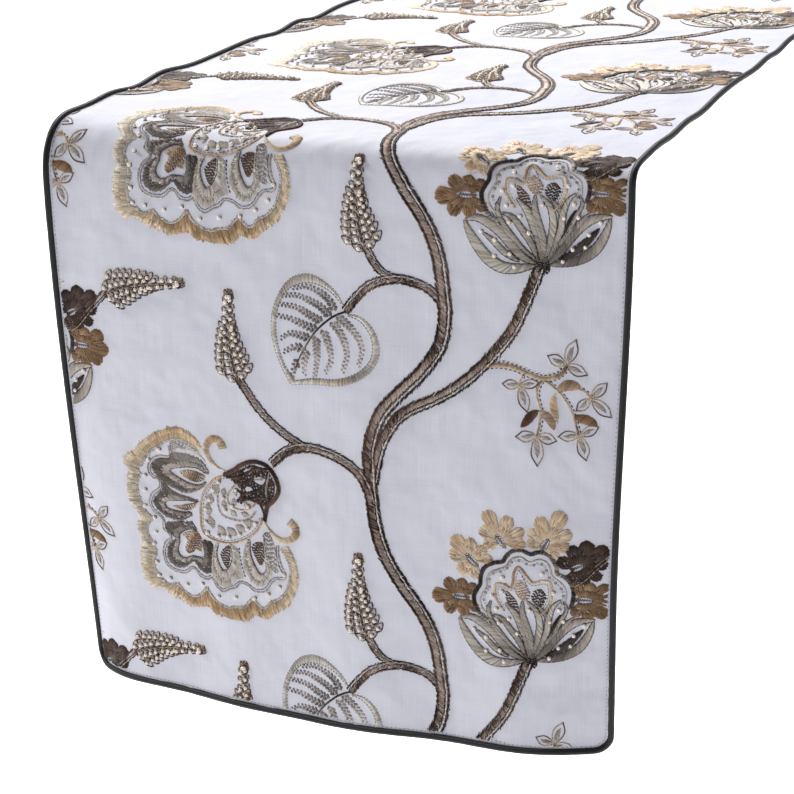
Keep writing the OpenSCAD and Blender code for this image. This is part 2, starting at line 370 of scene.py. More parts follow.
@dataclass(frozen=True)
class ThreadFinish:
    """Satin embroidery thread, coloured stitch by stitch.

    Attributes:
        name: The material's name.
        gloss: Roughness where the thread is smoothest.
    """

    name: str
    gloss: float = 0.4

    def material(self) -> bpy.types.Material:
        """Builds the material.

        Returns:
            The material.
        """
        g = Graph(self.name)
        colour = g.add("ShaderNodeVertexColor", {"layer_name": "Thread"}, {})
        along, across = g.parts(g.uv("Strand"))
        ply = (along * (math.tau / 0.9) + across * 5.0).sine() * 0.5 + 0.5
        fibre = g.noise(g.stretched(g.uv("Strand"), (0.6, 7, 1)), 3.0, 2)
        # Darker in the grooves of the twisted ply and lighter on its crests: painted shade and painted
        # highlight. The fibre noise adds random tone.
        shade = g.mix(ply * 0.5 + fibre * 0.5, (0.62, 0.6, 0.58), (1.12, 1.12, 1.12))
        g.set(
            Base_Color=g.mix(1.0, colour, shade, "MULTIPLY"),
            Roughness=self.gloss + 0.22 * (1 - ply),
            Normal=g.bump(ply, 0.06 * MM),
            Sheen_Weight=0.04,
            Specular_IOR_Level=0.35,
        )
        return g.material


@dataclass(frozen=True)
class SatinFinish:
    """Bias-cut satin over a cord, whose map is in millimetres along and turns around.

    Attributes:
        name: The material's name.
        dark: Display colour between the ribs, as painted shade.
        light: Display colour on the ribs, as painted highlight, and of the pale streaks.
    """

    name: str
    dark: tuple[int, int, int]
    light: tuple[int, int, int]

    def material(self) -> bpy.types.Material:
        """Builds the material.

        Returns:
            The material.
        """
        g = Graph(self.name)
        along, around = g.parts(g.uv("Strand"))
        # The ribs are lighter and the folds between them darker: painted highlight and painted shade. The
        # pale streaks along the cord are lighter at random.
        rib = (along * (math.tau / 0.8) + around * math.tau * 8).sine() * 0.5 + 0.5
        fleck = g.noise(g.stretched(g.uv("Strand"), (0.5, 5, 1)), 2.2, 3)
        pale_streaks = ((fleck - 0.52) * 5).limited()
        g.set(
            Base_Color=g.mix(rib * 0.45 + pale_streaks * 0.4, srgb(*self.dark), srgb(*self.light)),
            Roughness=0.36 + 0.2 * fleck,
            Normal=g.bump(rib * 0.5 + fleck * 0.5, 0.12 * MM),
            Sheen_Weight=0.04,
            Specular_IOR_Level=0.3,
        )
        return g.material


@dataclass(frozen=True)
class PearlFinish:
    """Small moulded pearl beads with a clear lustre.

    Attributes:
        name: The material's name.
        colour: Display colour of the bead.
        shade: Display colour of its darker swirls.
    """

    name: str
    colour: tuple[int, int, int]
    shade: tuple[int, int, int]

    def material(self) -> bpy.types.Material:
        """Builds the material.

        Returns:
            The material.
        """
        g = Graph(self.name)
        place = g.add("ShaderNodeTexCoord", {}, {}, output="Object")
        swirl = g.noise(place, 420, 3)
        bead = g.noise(place, 60, 1)
        g.set(
            Base_Color=g.mix(
                (swirl * 0.5 + bead * 0.9 - 0.2).limited(), srgb(*self.shade), srgb(*self.colour)
            ),
            Roughness=0.16 + 0.14 * swirl,
            Coat_Weight=0.6,
            Coat_Roughness=0.08,
            Specular_IOR_Level=0.6,
        )
        return g.material


@dataclass(frozen=True)
class CordFinish:
    """Twisted cotton cord, whose map is in millimetres along and turns around.

    Attributes:
        name: The material's name.
        colour: Display colour of the cotton.
    """

    name: str
    colour: tuple[int, int, int]

    def material(self) -> bpy.types.Material:
        """Builds the material.

        Returns:
            The material.
        """
        g = Graph(self.name)
        along, around = g.parts(g.uv("Strand"))
        ply = (along * (math.tau / 4.0) + around * math.tau * 3).sine() * 0.5 + 0.5
        # Darker in the grooves between the plies: painted shade.
        dark = tuple(int(0.72 * c) for c in self.colour)
        g.set(
            Base_Color=g.mix(ply, srgb(*dark), srgb(*self.colour)),
            Roughness=0.9,
            Normal=g.bump(ply, 0.4 * MM),
        )
        return g.material


@dataclass(frozen=True)
class StudioFinish:
    """The plain studio floor and backdrop.

    Attributes:
        name: The material's name.
        colour: Display colour.
    """

    name: str = "studio_floor"
    colour: tuple[int, int, int] = (250, 250, 250)

    def material(self) -> bpy.types.Material:
        """Builds the material.

        Returns:
            The material.
        """
        g = Graph(self.name)
        place = g.add("ShaderNodeTexCoord", {}, {}, output="Object")
        g.set(
            Base_Color=srgb(*self.colour),
            Roughness=0.8 + 0.1 * g.noise(place, 3, 2),
            Specular_IOR_Level=0.1,
            Emission_Color=(1.0, 1.0, 1.0),
            Emission_Strength=0.8,
        )
        return g.material


# ---------------------------------------------------------------------------------------------------
# The drape
# ---------------------------------------------------------------------------------------------------


def smooth(x: np.ndarray, low: float, high: float) -> np.ndarray:
    """An even step from 0 at low to 1 at high."""
    t = np.clip((x - low) / (high - low), 0, 1)
    return t * t * (3 - 2 * t)


@dataclass
class Drape:
    """How the flat cloth lies on the table and hangs from its edges. Sizes are in millimetres.

    The fields after corner_r describe the side view. They run from the middle of the table to the hem.

    Attributes:
        half_span: From the middle of the table top to the start of a CAD fold.
        fold_r: Inner radius of the CAD fold.
        drop: Height of a hanging end.
        half_w: Half the width over the piping.
        face_top: Height of the face cloth's upper side above the table.
        soft_bend: Length of cloth over which the real fold turns.
        bow: How far the middle of a hanging end stands out at the hem.
        lean_left: How far its left edge leans back towards the hem.
        lean_right: How far its right edge sits back near the fold.
        skew: How far its right corner hangs above the middle of the hem.
        slip: How far the hem hangs to the right of the fold.
        ripple: Height of the ripples in a hanging end.
        corner_r: Radius of the corners at the hem.
        step: Distance between the places of the side view.
        half_l: Half the length of the flat runner.
        bend_points: Where the fold starts and stops.
        along: Distances along the cloth.
        turn: How far the cloth has turned down at each.
        out: How far each is from the middle of the table.
        down: How far each is below the table top.
    """

    half_span: float
    fold_r: float
    drop: float
    half_w: float
    face_top: float
    soft_bend: float = 64.0
    bow: float = 24.0
    lean_left: float = 17.0
    lean_right: float = 16.0
    skew: float = 16.0
    slip: float = 9.5
    ripple: float = 1.8
    corner_r: float = 9.0
    step: float = 0.5
    half_l: float = field(init=False)
    bend_points: tuple[float, float] = field(init=False)
    along: np.ndarray = field(init=False)
    turn: np.ndarray = field(init=False)
    out: np.ndarray = field(init=False)
    down: np.ndarray = field(init=False)

    def __post_init__(self) -> None:
        """Works out the side view of the runner, from the middle of the table to the hem."""
        arc = math.pi / 2 * (self.fold_r + self.face_top / 2)
        self.half_l = self.half_span + arc + self.drop - self.fold_r
        self.bend(self.half_span + arc / 2)
        excess = self.out[-1] - self.half_span - self.fold_r
        self.bend(self.half_span + arc / 2 - excess)
        stretch = self.half_l / (self.half_l - 2 * excess)
        self.along = self.along * stretch
        self.bend_points = tuple(p * stretch for p in self.bend_points)

    def bend(self, middle: float) -> None:
        """Draws the side view with the fold's middle at one place.

        Args:
            middle: Distance along the cloth from the middle of the table to the middle of the fold.
        """
        low, high = middle - self.soft_bend / 2, middle + self.soft_bend / 2
        self.bend_points = (low, high)
        spare = 40
        self.along = np.arange(0, self.half_l + spare, self.step)
        self.turn = math.pi / 2 * smooth(self.along, low, high)
        self.out = np.concatenate([[0], np.cumsum(np.cos(self.turn))[:-1] * self.step])
        self.down = np.concatenate([[0], np.cumsum(np.sin(self.turn))[:-1] * self.step])

    @classmethod
    def from_frame(cls) -> "Drape":
        """Reads the runner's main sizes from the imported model.

        Returns:
            The drape.
        """
        _, face_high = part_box("span_face")
        fold_low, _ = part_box("front_fold_lining")
        cover_low, cover_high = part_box("front_piping_cover")
        half_span = face_high[1] / MM
        return cls(
            half_span=half_span,
            fold_r=-fold_low[2] / MM,
            drop=-cover_low[2] / MM,
            half_w=cover_high[0] / MM,
            face_top=face_high[2] / MM,
        )

    def waves(self, u: np.ndarray, v: np.ndarray) -> tuple[np.ndarray, ...]:
        """The departures from a flat, straight drape.

        Args:
            u: Places across.
            v: Places along.

        Returns:
            How far each place stands off the cloth, how far a hanging place swings forward, how far
            it is drawn sideways and how far it is drawn up.
        """
        s = v - self.half_l
        a = np.abs(s)
        e = np.clip(np.where(s < 0, u, -u) / self.half_w, -1.05, 1.05)
        h = np.clip((a - self.half_span) / (self.half_l - self.half_span), 0, 1)
        shoulder_out = 3
        left = shoulder_out * smooth(h, 0.02, 0.2) - self.lean_left * smooth(h, 0.25, 1.08)
        right = self.lean_right * (smooth(h, 0, 0.75) * 1.6 - 1)
        curl = np.where(e < 0, np.abs(e) ** 7, np.abs(e) ** 4)
        swing = left * (1 - e) / 2 + right * (1 + e) / 2 + self.bow * h**1.8 * (1 - curl)
        flute = np.sin(u / 31 + 2.2 * h) + 0.6 * np.sin(u / 17 - 1.6 * h + 1.3)
        swing = swing + self.ripple * smooth(h, 0.15, 1.0) * flute
        on_table = 1 - smooth(a, self.half_span - 60, self.half_span + 20)
        lift = 0.5 + 0.5 * np.sin(v / 17 + 1.2 * np.sin(v / 41) + np.where(e < 0, 0.0, 2.0))
        puckered = 3.0 * np.abs(e) ** 5 * lift * np.where(e < 0, 1.0, 0.5)
        broad = 0.8 * (1 + np.sin(v / 43 + u / 90) * np.sin(u / 57 - v / 130))
        shoulder = 1.6 * np.exp(-(((a - self.half_span - 6) / 34) ** 2))
        shoulder = shoulder * np.sin(u / 36 + 0.6) * (0.4 + 0.6 * np.abs(e))
        facing = np.where(s < 0, 1.0, -1.0)
        right_edge_in, hem_up, left_share = 7, 3, 0.4
        side = facing * (self.slip * h - right_edge_in * h**1.5 * np.clip(e, 0, 1.05) ** 3)
        up = h**2 * (hem_up + self.skew * np.where(e < 0, left_share * e, e))
        return on_table * (puckered + broad) + shoulder, swing, side, up

    def sheet(self, u: np.ndarray, v: np.ndarray) -> np.ndarray:
        """Places on the underside of the runner.

        Args:
            u: Places across.
            v: Places along.

        Returns:
            One row of x, y and z for each, in millimetres.
        """
        s = v - self.half_l
        side = np.where(s < 0, -1.0, 1.0)
        a = np.abs(s)
        turn = np.interp(a, self.along, self.turn)
        out, swing, inward, up = self.waves(u, v)
        hanging = np.sin(turn) ** 2
        y = np.interp(a, self.along, self.out) + out * np.sin(turn) + swing * hanging
        z = up * hanging - np.interp(a, self.along, self.down) + out * np.cos(turn)
        return np.stack([u + inward * hanging, side * y, z], axis=-1)

    def normals(self, u: np.ndarray, v: np.ndarray) -> np.ndarray:
        """Unit normals of the face side.

        Args:
            u: Places across.
            v: Places along.

        Returns:
            One normal for each.
        """
        near = 0.6
        across = self.sheet(u + near, v) - self.sheet(u - near, v)
        along = self.sheet(u, v + near) - self.sheet(u, v - near)
        n = np.cross(across, along)
        return n / np.linalg.norm(n, axis=-1, keepdims=True)

    def place(self, u: np.ndarray, v: np.ndarray, out: np.ndarray | float) -> np.ndarray:
        """Places above the underside of the runner, in metres.

        Args:
            u: Places across.
            v: Places along.
            out: Heights above the underside.

        Returns:
            One row of x, y and z for each.
        """
        u, v = np.asarray(u, float), np.asarray(v, float)
        height = np.broadcast_to(np.asarray(out, float), u.shape)
        return (self.sheet(u, v) + self.normals(u, v) * height[..., None]) * MM


def bare() -> None:
    """Deselects everything."""
    for thing in list(bpy.context.selected_objects):
        thing.select_set(False)


def pick(thing: bpy.types.Object) -> None:
    """Selects one object and makes it the active one.

    Args:
        thing: The object.
    """
    bare()
    thing.select_set(True)
    bpy.context.view_layer.objects.active = thing


def mesh_from(
    name: str, points: np.ndarray, faces: np.ndarray, uvs: Optional[np.ndarray], uv_name: str
) -> bpy.types.Object:
    """Makes a mesh object from arrays.

    Args:
        name: The object's name.
        points: One row of x, y and z for each corner.
        faces: One row of corner numbers for each face, with -1 as the fourth of a triangle.
        uvs: Map coordinates of each corner, or None.
        uv_name: The map's name.

    Returns:
        The object.
    """
    sizes = np.where(faces[:, 3] < 0, 3, 4)
    loops = faces.ravel()[faces.ravel() >= 0]
    mesh = bpy.data.meshes.new(name)
    mesh.vertices.add(len(points))
    mesh.vertices.foreach_set("co", points.astype(np.float32).ravel())
    mesh.loops.add(len(loops))
    mesh.loops.foreach_set("vertex_index", loops.astype(np.int32))
    mesh.polygons.add(len(faces))
    starts = np.concatenate([[0], np.cumsum(sizes)[:-1]])
    mesh.polygons.foreach_set("loop_start", starts.astype(np.int32))
    mesh.update(calc_edges=True)
    if uvs is not None:
        layer = mesh.uv_layers.new(name=uv_name)
        layer.uv.foreach_set("vector", uvs[loops].astype(np.float32).ravel())
    mesh.validate()
    mesh.shade_smooth()
    thing = bpy.data.objects.new(name, mesh)
    bpy.context.scene.collection.objects.link(thing)
    return thing


def settle(thing: bpy.types.Object, nodes: Iterable[str]) -> None:
    """Fixes a finished piece's transform and hides the imported nodes that it stands for.

    Args:
        thing: The piece.
        nodes: The nodes that it replaces.
    """
    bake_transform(thing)
    names = list(nodes)
    if names:
        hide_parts(*names)
    LOG.info("%s: %d faces", thing.name, len(thing.data.polygons))


# ---------------------------------------------------------------------------------------------------
# Cloth
# ---------------------------------------------------------------------------------------------------


@dataclass
class ClothLayer:
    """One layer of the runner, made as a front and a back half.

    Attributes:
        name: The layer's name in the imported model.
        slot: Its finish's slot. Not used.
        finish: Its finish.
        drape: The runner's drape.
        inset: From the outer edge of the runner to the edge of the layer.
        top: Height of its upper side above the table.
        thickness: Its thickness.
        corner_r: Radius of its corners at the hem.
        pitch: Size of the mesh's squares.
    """

    name: str
    slot: str
    finish: WovenFinish
    drape: Drape
    inset: float
    top: float
    thickness: float
    corner_r: float
    pitch: float

    def rounded(self, u: np.ndarray, v: np.ndarray) -> tuple[np.ndarray, np.ndarray]:
        """Pulls the square corners of the half sheet in to round ones.

        Args:
            u: Places across.
            v: Places from the hem.

        Returns:
            The new places.
        """
        half = self.drape.half_w - self.inset
        across = np.clip(np.abs(u) - (half - self.corner_r), 0, None)
        down = np.clip(self.inset + self.corner_r - v, 0, None)
        reach = np.maximum(across, down)
        length = np.hypot(across, down)
        share = np.where(length > 0, reach / np.maximum(length, 1e-9), 1.0)
        inner_u = np.minimum(np.abs(u), half - self.corner_r)
        inner_v = np.maximum(v, self.inset + self.corner_r)
        return np.sign(u) * (inner_u + across * share), inner_v - down * share

    def half(self, end: End, material: bpy.types.Material) -> bpy.types.Object:
        """Makes one half of the layer.

        Args:
            end: Which half.
            material: The finish's material.

        Returns:
            The half, as a closed sheet.
        """
        drape = self.drape
        half = drape.half_w - self.inset
        columns = round(2 * half / self.pitch)
        rows = round((drape.half_l - self.inset) / self.pitch)
        bare()
        bpy.ops.mesh.primitive_grid_add(x_subdivisions=columns, y_subdivisions=rows, size=2)
        sheet = bpy.context.active_object
        sheet.name = f"{end.value}_{self.name}_cloth"
        sheet.data.name = sheet.name
        co = np.empty(len(sheet.data.vertices) * 3, np.float32)
        sheet.data.vertices.foreach_get("co", co)
        co = co.reshape(-1, 3).astype(float)
        u = co[:, 0] * half
        from_hem = self.inset + (co[:, 1] + 1) / 2 * (drape.half_l - self.inset)
        u, from_hem = self.rounded(u, from_hem)
        v = from_hem if end is End.FRONT else 2 * drape.half_l - from_hem
        sheet.data.vertices.foreach_set(
            "co", drape.place(u, v, self.top).astype(np.float32).ravel()
        )
        self.map_cloth(sheet, u, v)
        if end is End.BACK:
            sheet.data.flip_normals()
        pick(sheet)
        solid = sheet.modifiers.new("Thickness", "SOLIDIFY")
        solid.thickness = self.thickness * MM
        solid.offset = -1
        bpy.ops.object.modifier_apply(modifier=solid.name)
        bpy.ops.object.shade_smooth_by_angle(angle=math.radians(50))
        sheet.data.materials.clear()
        sheet.data.materials.append(material)
        return sheet

    def map_cloth(self, sheet: bpy.types.Object, u: np.ndarray, v: np.ndarray) -> None:
        """Gives the sheet a map in metres of flat cloth.

        Args:
            sheet: The sheet.
            u: Each corner's place across.
            v: Each corner's place along.
        """
        while sheet.data.uv_layers:
            sheet.data.uv_layers.remove(sheet.data.uv_layers[0])
        layer = sheet.data.uv_layers.new(name="Weave")
        corner = np.empty(len(sheet.data.loops), np.int32)
        sheet.data.loops.foreach_get("vertex_index", corner)
        flat = np.stack([u, v], axis=-1)[corner] * MM
        layer.uv.foreach_set("vector", flat.astype(np.float32).ravel())

    def build(self) -> dict[End, bpy.types.Object]:
        """Makes both halves of the layer.

        Returns:
            The two halves.
        """
        material = self.finish.material()
        halves = {}
        for end in End:
            sheet = self.half(end, material)
            nodes = [f"{end.value}_{self.name}", f"{end.value}_fold_{self.name}"]
            if end is End.FRONT:
                nodes.append(f"span_{self.name}")
            settle(sheet, nodes)
            halves[end] = sheet
        return halves

    def declare(self, sheet: bpy.types.Object, rests_on: list, extras: list) -> None:
        """Works out the flat size of one half, and does nothing more with it.

        Args:
            sheet: The half. Not used.
            rests_on: What it lies on. Not used.
            extras: The pieces sewn to it. Not used.
        """
        width = 2 * (self.drape.half_w - self.inset) * MM
        length = (self.drape.half_l - self.inset) * MM


# ---------------------------------------------------------------------------------------------------
# Piping
# ---------------------------------------------------------------------------------------------------


@dataclass
class Piping:
    """The covered cord round the edge of the runner.

    Attributes:
        drape: The runner's drape.
        outer_r: Radius over the cover.
        cord_r: Radius of the cord.
        sides: Faces round the piping.
        pitch: Distance between rings.
    """

    drape: Drape
    outer_r: float
    cord_r: float
    sides: int = 14
    pitch: float = 3.6

    def route(self, end: End) -> tuple[np.ndarray, np.ndarray]:
        """The piping's centre line, from mid-length round the hem and back.

        Args:
            end: Which half.

        Returns:
            Places across and along.
        """
        drape = self.drape
        side_u = drape.half_w - self.outer_r
        bend_r = drape.corner_r + self.outer_r
        straight = drape.half_l - self.outer_r - bend_r
        n = math.ceil(straight / self.pitch)
        down = np.linspace(drape.half_l, self.outer_r + bend_r, n, endpoint=False)
        angle = np.linspace(0, math.pi / 2, 8, endpoint=False)
        bend_u = side_u - bend_r + bend_r * np.cos(angle)
        bend_v = self.outer_r + bend_r - bend_r * np.sin(angle)
        hem = np.linspace(side_u - bend_r, 0, math.ceil((side_u - bend_r) / self.pitch))
        u = np.concatenate([np.full(n, side_u), bend_u, hem])
        v = np.concatenate([down, bend_v, np.full(len(hem), self.outer_r)])
        u = np.concatenate([-u, u[::-1][1:]])
        v = np.concatenate([v, v[::-1][1:]])
        return u, v if end is End.FRONT else 2 * drape.half_l - v

    def tube(self, name: str, end: End, radius: float, gathered: float) -> bpy.types.Object:
        """Sweeps a round section along the edge.

        Args:
            name: The piece's name.
            end: Which half.
            radius: The section's radius.
            gathered: How much the cover puckers, as a share of the radius.

        Returns:
            The tube, closed at both ends.
        """
        u, v = self.route(end)
        centre = self.drape.place(u, v, self.outer_r) / MM
        out = self.drape.normals(u, v)
        run = np.gradient(centre, axis=0)
        step = np.linalg.norm(np.diff(centre, axis=0), axis=1)
        length = np.concatenate([[0], np.cumsum(step)])
        run /= np.linalg.norm(run, axis=1, keepdims=True)
        side = np.cross(run, out)
        side /= np.linalg.norm(side, axis=1, keepdims=True)
        around = np.linspace(0, math.tau, self.sides, endpoint=False)
        rng = np.random.default_rng(SEED)
        pucker = 1 + gathered * rng.normal(size=(len(u), 1)) * np.cos(around * 2 + 1)
        ring = np.cos(around)[:, None, None] * out + np.sin(around)[:, None, None] * side
        points = centre[:, None] + ring.transpose(1, 0, 2) * radius * pucker[..., None]
        rings, sides = len(u), self.sides
        first = (np.arange(rings - 1) * sides)[:, None] + np.arange(sides)
        second = (np.arange(rings - 1) * sides)[:, None] + (np.arange(sides) + 1) % sides
        quads = np.stack([first, second, second + sides, first + sides], -1).reshape(-1, 4)
        if end is End.FRONT:
            quads = quads[:, ::-1]
        caps = []
        for base, turned in ((0, end is End.FRONT), ((rings - 1) * sides, end is End.BACK)):
            centre_at = rings * sides + len(caps) // sides
            for i in range(sides):
                pair = (base + i, base + (i + 1) % sides)
                pair = pair if turned else pair[::-1]
                caps.append([centre_at, *pair, -1])
        points = np.concatenate([points.reshape(-1, 3), centre[[0]], centre[[-1]]])
        faces = np.concatenate([quads, np.array(caps)])
        strand_u = np.repeat(length, sides)
        strand_v = np.tile(np.arange(sides) / sides, rings)
        uvs = np.stack([strand_u, strand_v], -1)
        uvs = np.concatenate([uvs, [[0, 0.5], [length[-1], 0.5]]])
        tube = mesh_from(name, points * MM, faces, uvs, "Strand")
        self.close_map(tube)
        return tube

    def close_map(self, tube: bpy.types.Object) -> None:
        """Carries the map past its seam on the last strip of faces round the tube.

        Args:
            tube: The tube.
        """
        layer = tube.data.uv_layers["Strand"]
        flat = np.empty(len(tube.data.loops) * 2, np.float32)
        layer.uv.foreach_get("vector", flat)
        flat = flat.reshape(-1, 2)
        starts = np.empty(len(tube.data.polygons), np.int32)
        totals = np.empty(len(tube.data.polygons), np.int32)
        tube.data.polygons.foreach_get("loop_start", starts)
        tube.data.polygons.foreach_get("loop_total", totals)
        for start in starts[totals == 4]:
            loop = flat[start : start + 4, 1]
            if loop.max() - loop.min() > 0.5:
                loop[loop < 0.5] += 1
        layer.uv.foreach_set("vector", flat.ravel())

    def build(self) -> dict[End, list[bpy.types.Object]]:
        """Makes the cover and the cord of both halves.

        Returns:
            The two pieces of each half.
        """
        satin = SatinFinish("charcoal_satin", (8, 8, 10), (46, 45, 48)).material()
        cotton = CordFinish("cotton_cord", (222, 214, 196)).material()
        made = {}
        for end in End:
            cover = self.tube(f"{end.value}_piping", end, self.outer_r, 0.02)
            cover.data.materials.append(satin)
            cord = self.tube(f"{end.value}_piping_core", end, self.cord_r, 0.0)
            cord.data.materials.append(cotton)
            for thing, part, slot in (
                (cover, "piping_cover", "piping_satin"),
                (cord, "piping_cord", "piping_cord"),
            ):
                nodes = [f"{end.value}_{part}", f"{end.value}_fold_{part}"]
                if end is End.FRONT:
                    nodes.append(f"span_{part}")
                settle(thing, nodes)
            made[end] = [cover, cord]
        return made


# ---------------------------------------------------------------------------------------------------
# Needlework on the flat cloth
# ---------------------------------------------------------------------------------------------------

Points = Sequence[Sequence[float]]
WIDTH, HEIGHT, LIFT, COLOUR = 4, 5, 6, slice(7, 10)
REPEAT = 268.0


def curve(points: Points, closed: bool = False, per_span: int = 14) -> np.ndarray:
    """A smooth line through a few points.

    Args:
        points: The points.
        closed: Whether the line comes back to its start.
        per_span: Steps from one point to the next.

    Returns:
        Many places along the line.
    """
    p = np.asarray(points, float)
    if closed:
        p = np.concatenate([p[-1:], p, p[:2]])
    else:
        p = np.concatenate([[2 * p[0] - p[1]], p, [2 * p[-1] - p[-2]]])
    t = np.linspace(0, 1, per_span, endpoint=False)[:, None]
    spans = []
    for a, b, c, d in zip(p[:-3], p[1:-2], p[2:-1], p[3:]):
        spans.append(
            0.5
            * (
                2 * b
                + (c - a) * t
                + (2 * a - 5 * b + 4 * c - d) * t**2
                + (3 * b - a - 3 * c + d) * t**3
            )
        )
    return np.concatenate([*spans, p[-2:-1]])


def spaced(path: np.ndarray, pitch: float, least: int = 2) -> tuple[np.ndarray, np.ndarray, np.ndarray]:
    """Even steps along a line.

    Args:
        path: The line.
        pitch: Distance between steps.
        least: The fewest steps.

    Returns:
        The places, their share of the way along, and the unit direction at each.
    """
    run = np.concatenate([[0], np.cumsum(np.linalg.norm(np.diff(path, axis=0), axis=1))])
    n = max(least, int(run[-1] / pitch) + 1)
    at = np.linspace(0, run[-1], n)
    places = np.stack([np.interp(at, run, path[:, k]) for k in (0, 1)], -1)
    step = max(run[-1] / 400, 0.05)
    ahead = np.stack([np.interp(at + step, run, path[:, k]) for k in (0, 1)], -1)
    behind = np.stack([np.interp(at - step, run, path[:, k]) for k in (0, 1)], -1)
    way = ahead - behind
    way /= np.maximum(np.linalg.norm(way, axis=1, keepdims=True), 1e-9)
    return places, at / max(run[-1], 1e-9), way


def left_of(way: np.ndarray) -> np.ndarray:
    """Unit directions a quarter turn to the left."""
    return np.stack([-way[:, 1], way[:, 0]], -1)


def offset(path: np.ndarray, distance: float) -> np.ndarray:
    """A line moved to its left."""
    places, _, way = spaced(path, 1.0, 8)
    return places + left_of(way) * distance


def rim(path: np.ndarray, reach: Callable[[np.ndarray], np.ndarray], sign: int) -> np.ndarray:
    """One edge of a band that swells along a line.

    Args:
        path: The line.
        reach: Its half width along the line.
        sign: 1 for its left edge and -1 for its right one.

    Returns:
        The edge's points.
    """
    places, share, way = spaced(path, 0.8)
    return places + left_of(way) * (sign * reach(share))[:, None]


def between(one: np.ndarray, other: np.ndarray, share: float, steps: int = 150) -> np.ndarray:
    """The line that runs part of the way from one line to another.

    Args:
        one: The first line.
        other: The second line.
        share: The share of the way.
        steps: How many points it has.

    Returns:
        Its points.
    """
    ends = []
    for line in (one, other):
        run = np.concatenate([[0], np.cumsum(np.linalg.norm(np.diff(line, axis=0), axis=1))])
        at = np.linspace(0, run[-1], steps)
        ends.append(np.stack([np.interp(at, run, line[:, k]) for k in (0, 1)], -1))
    return ends[0] + (ends[1] - ends[0]) * share


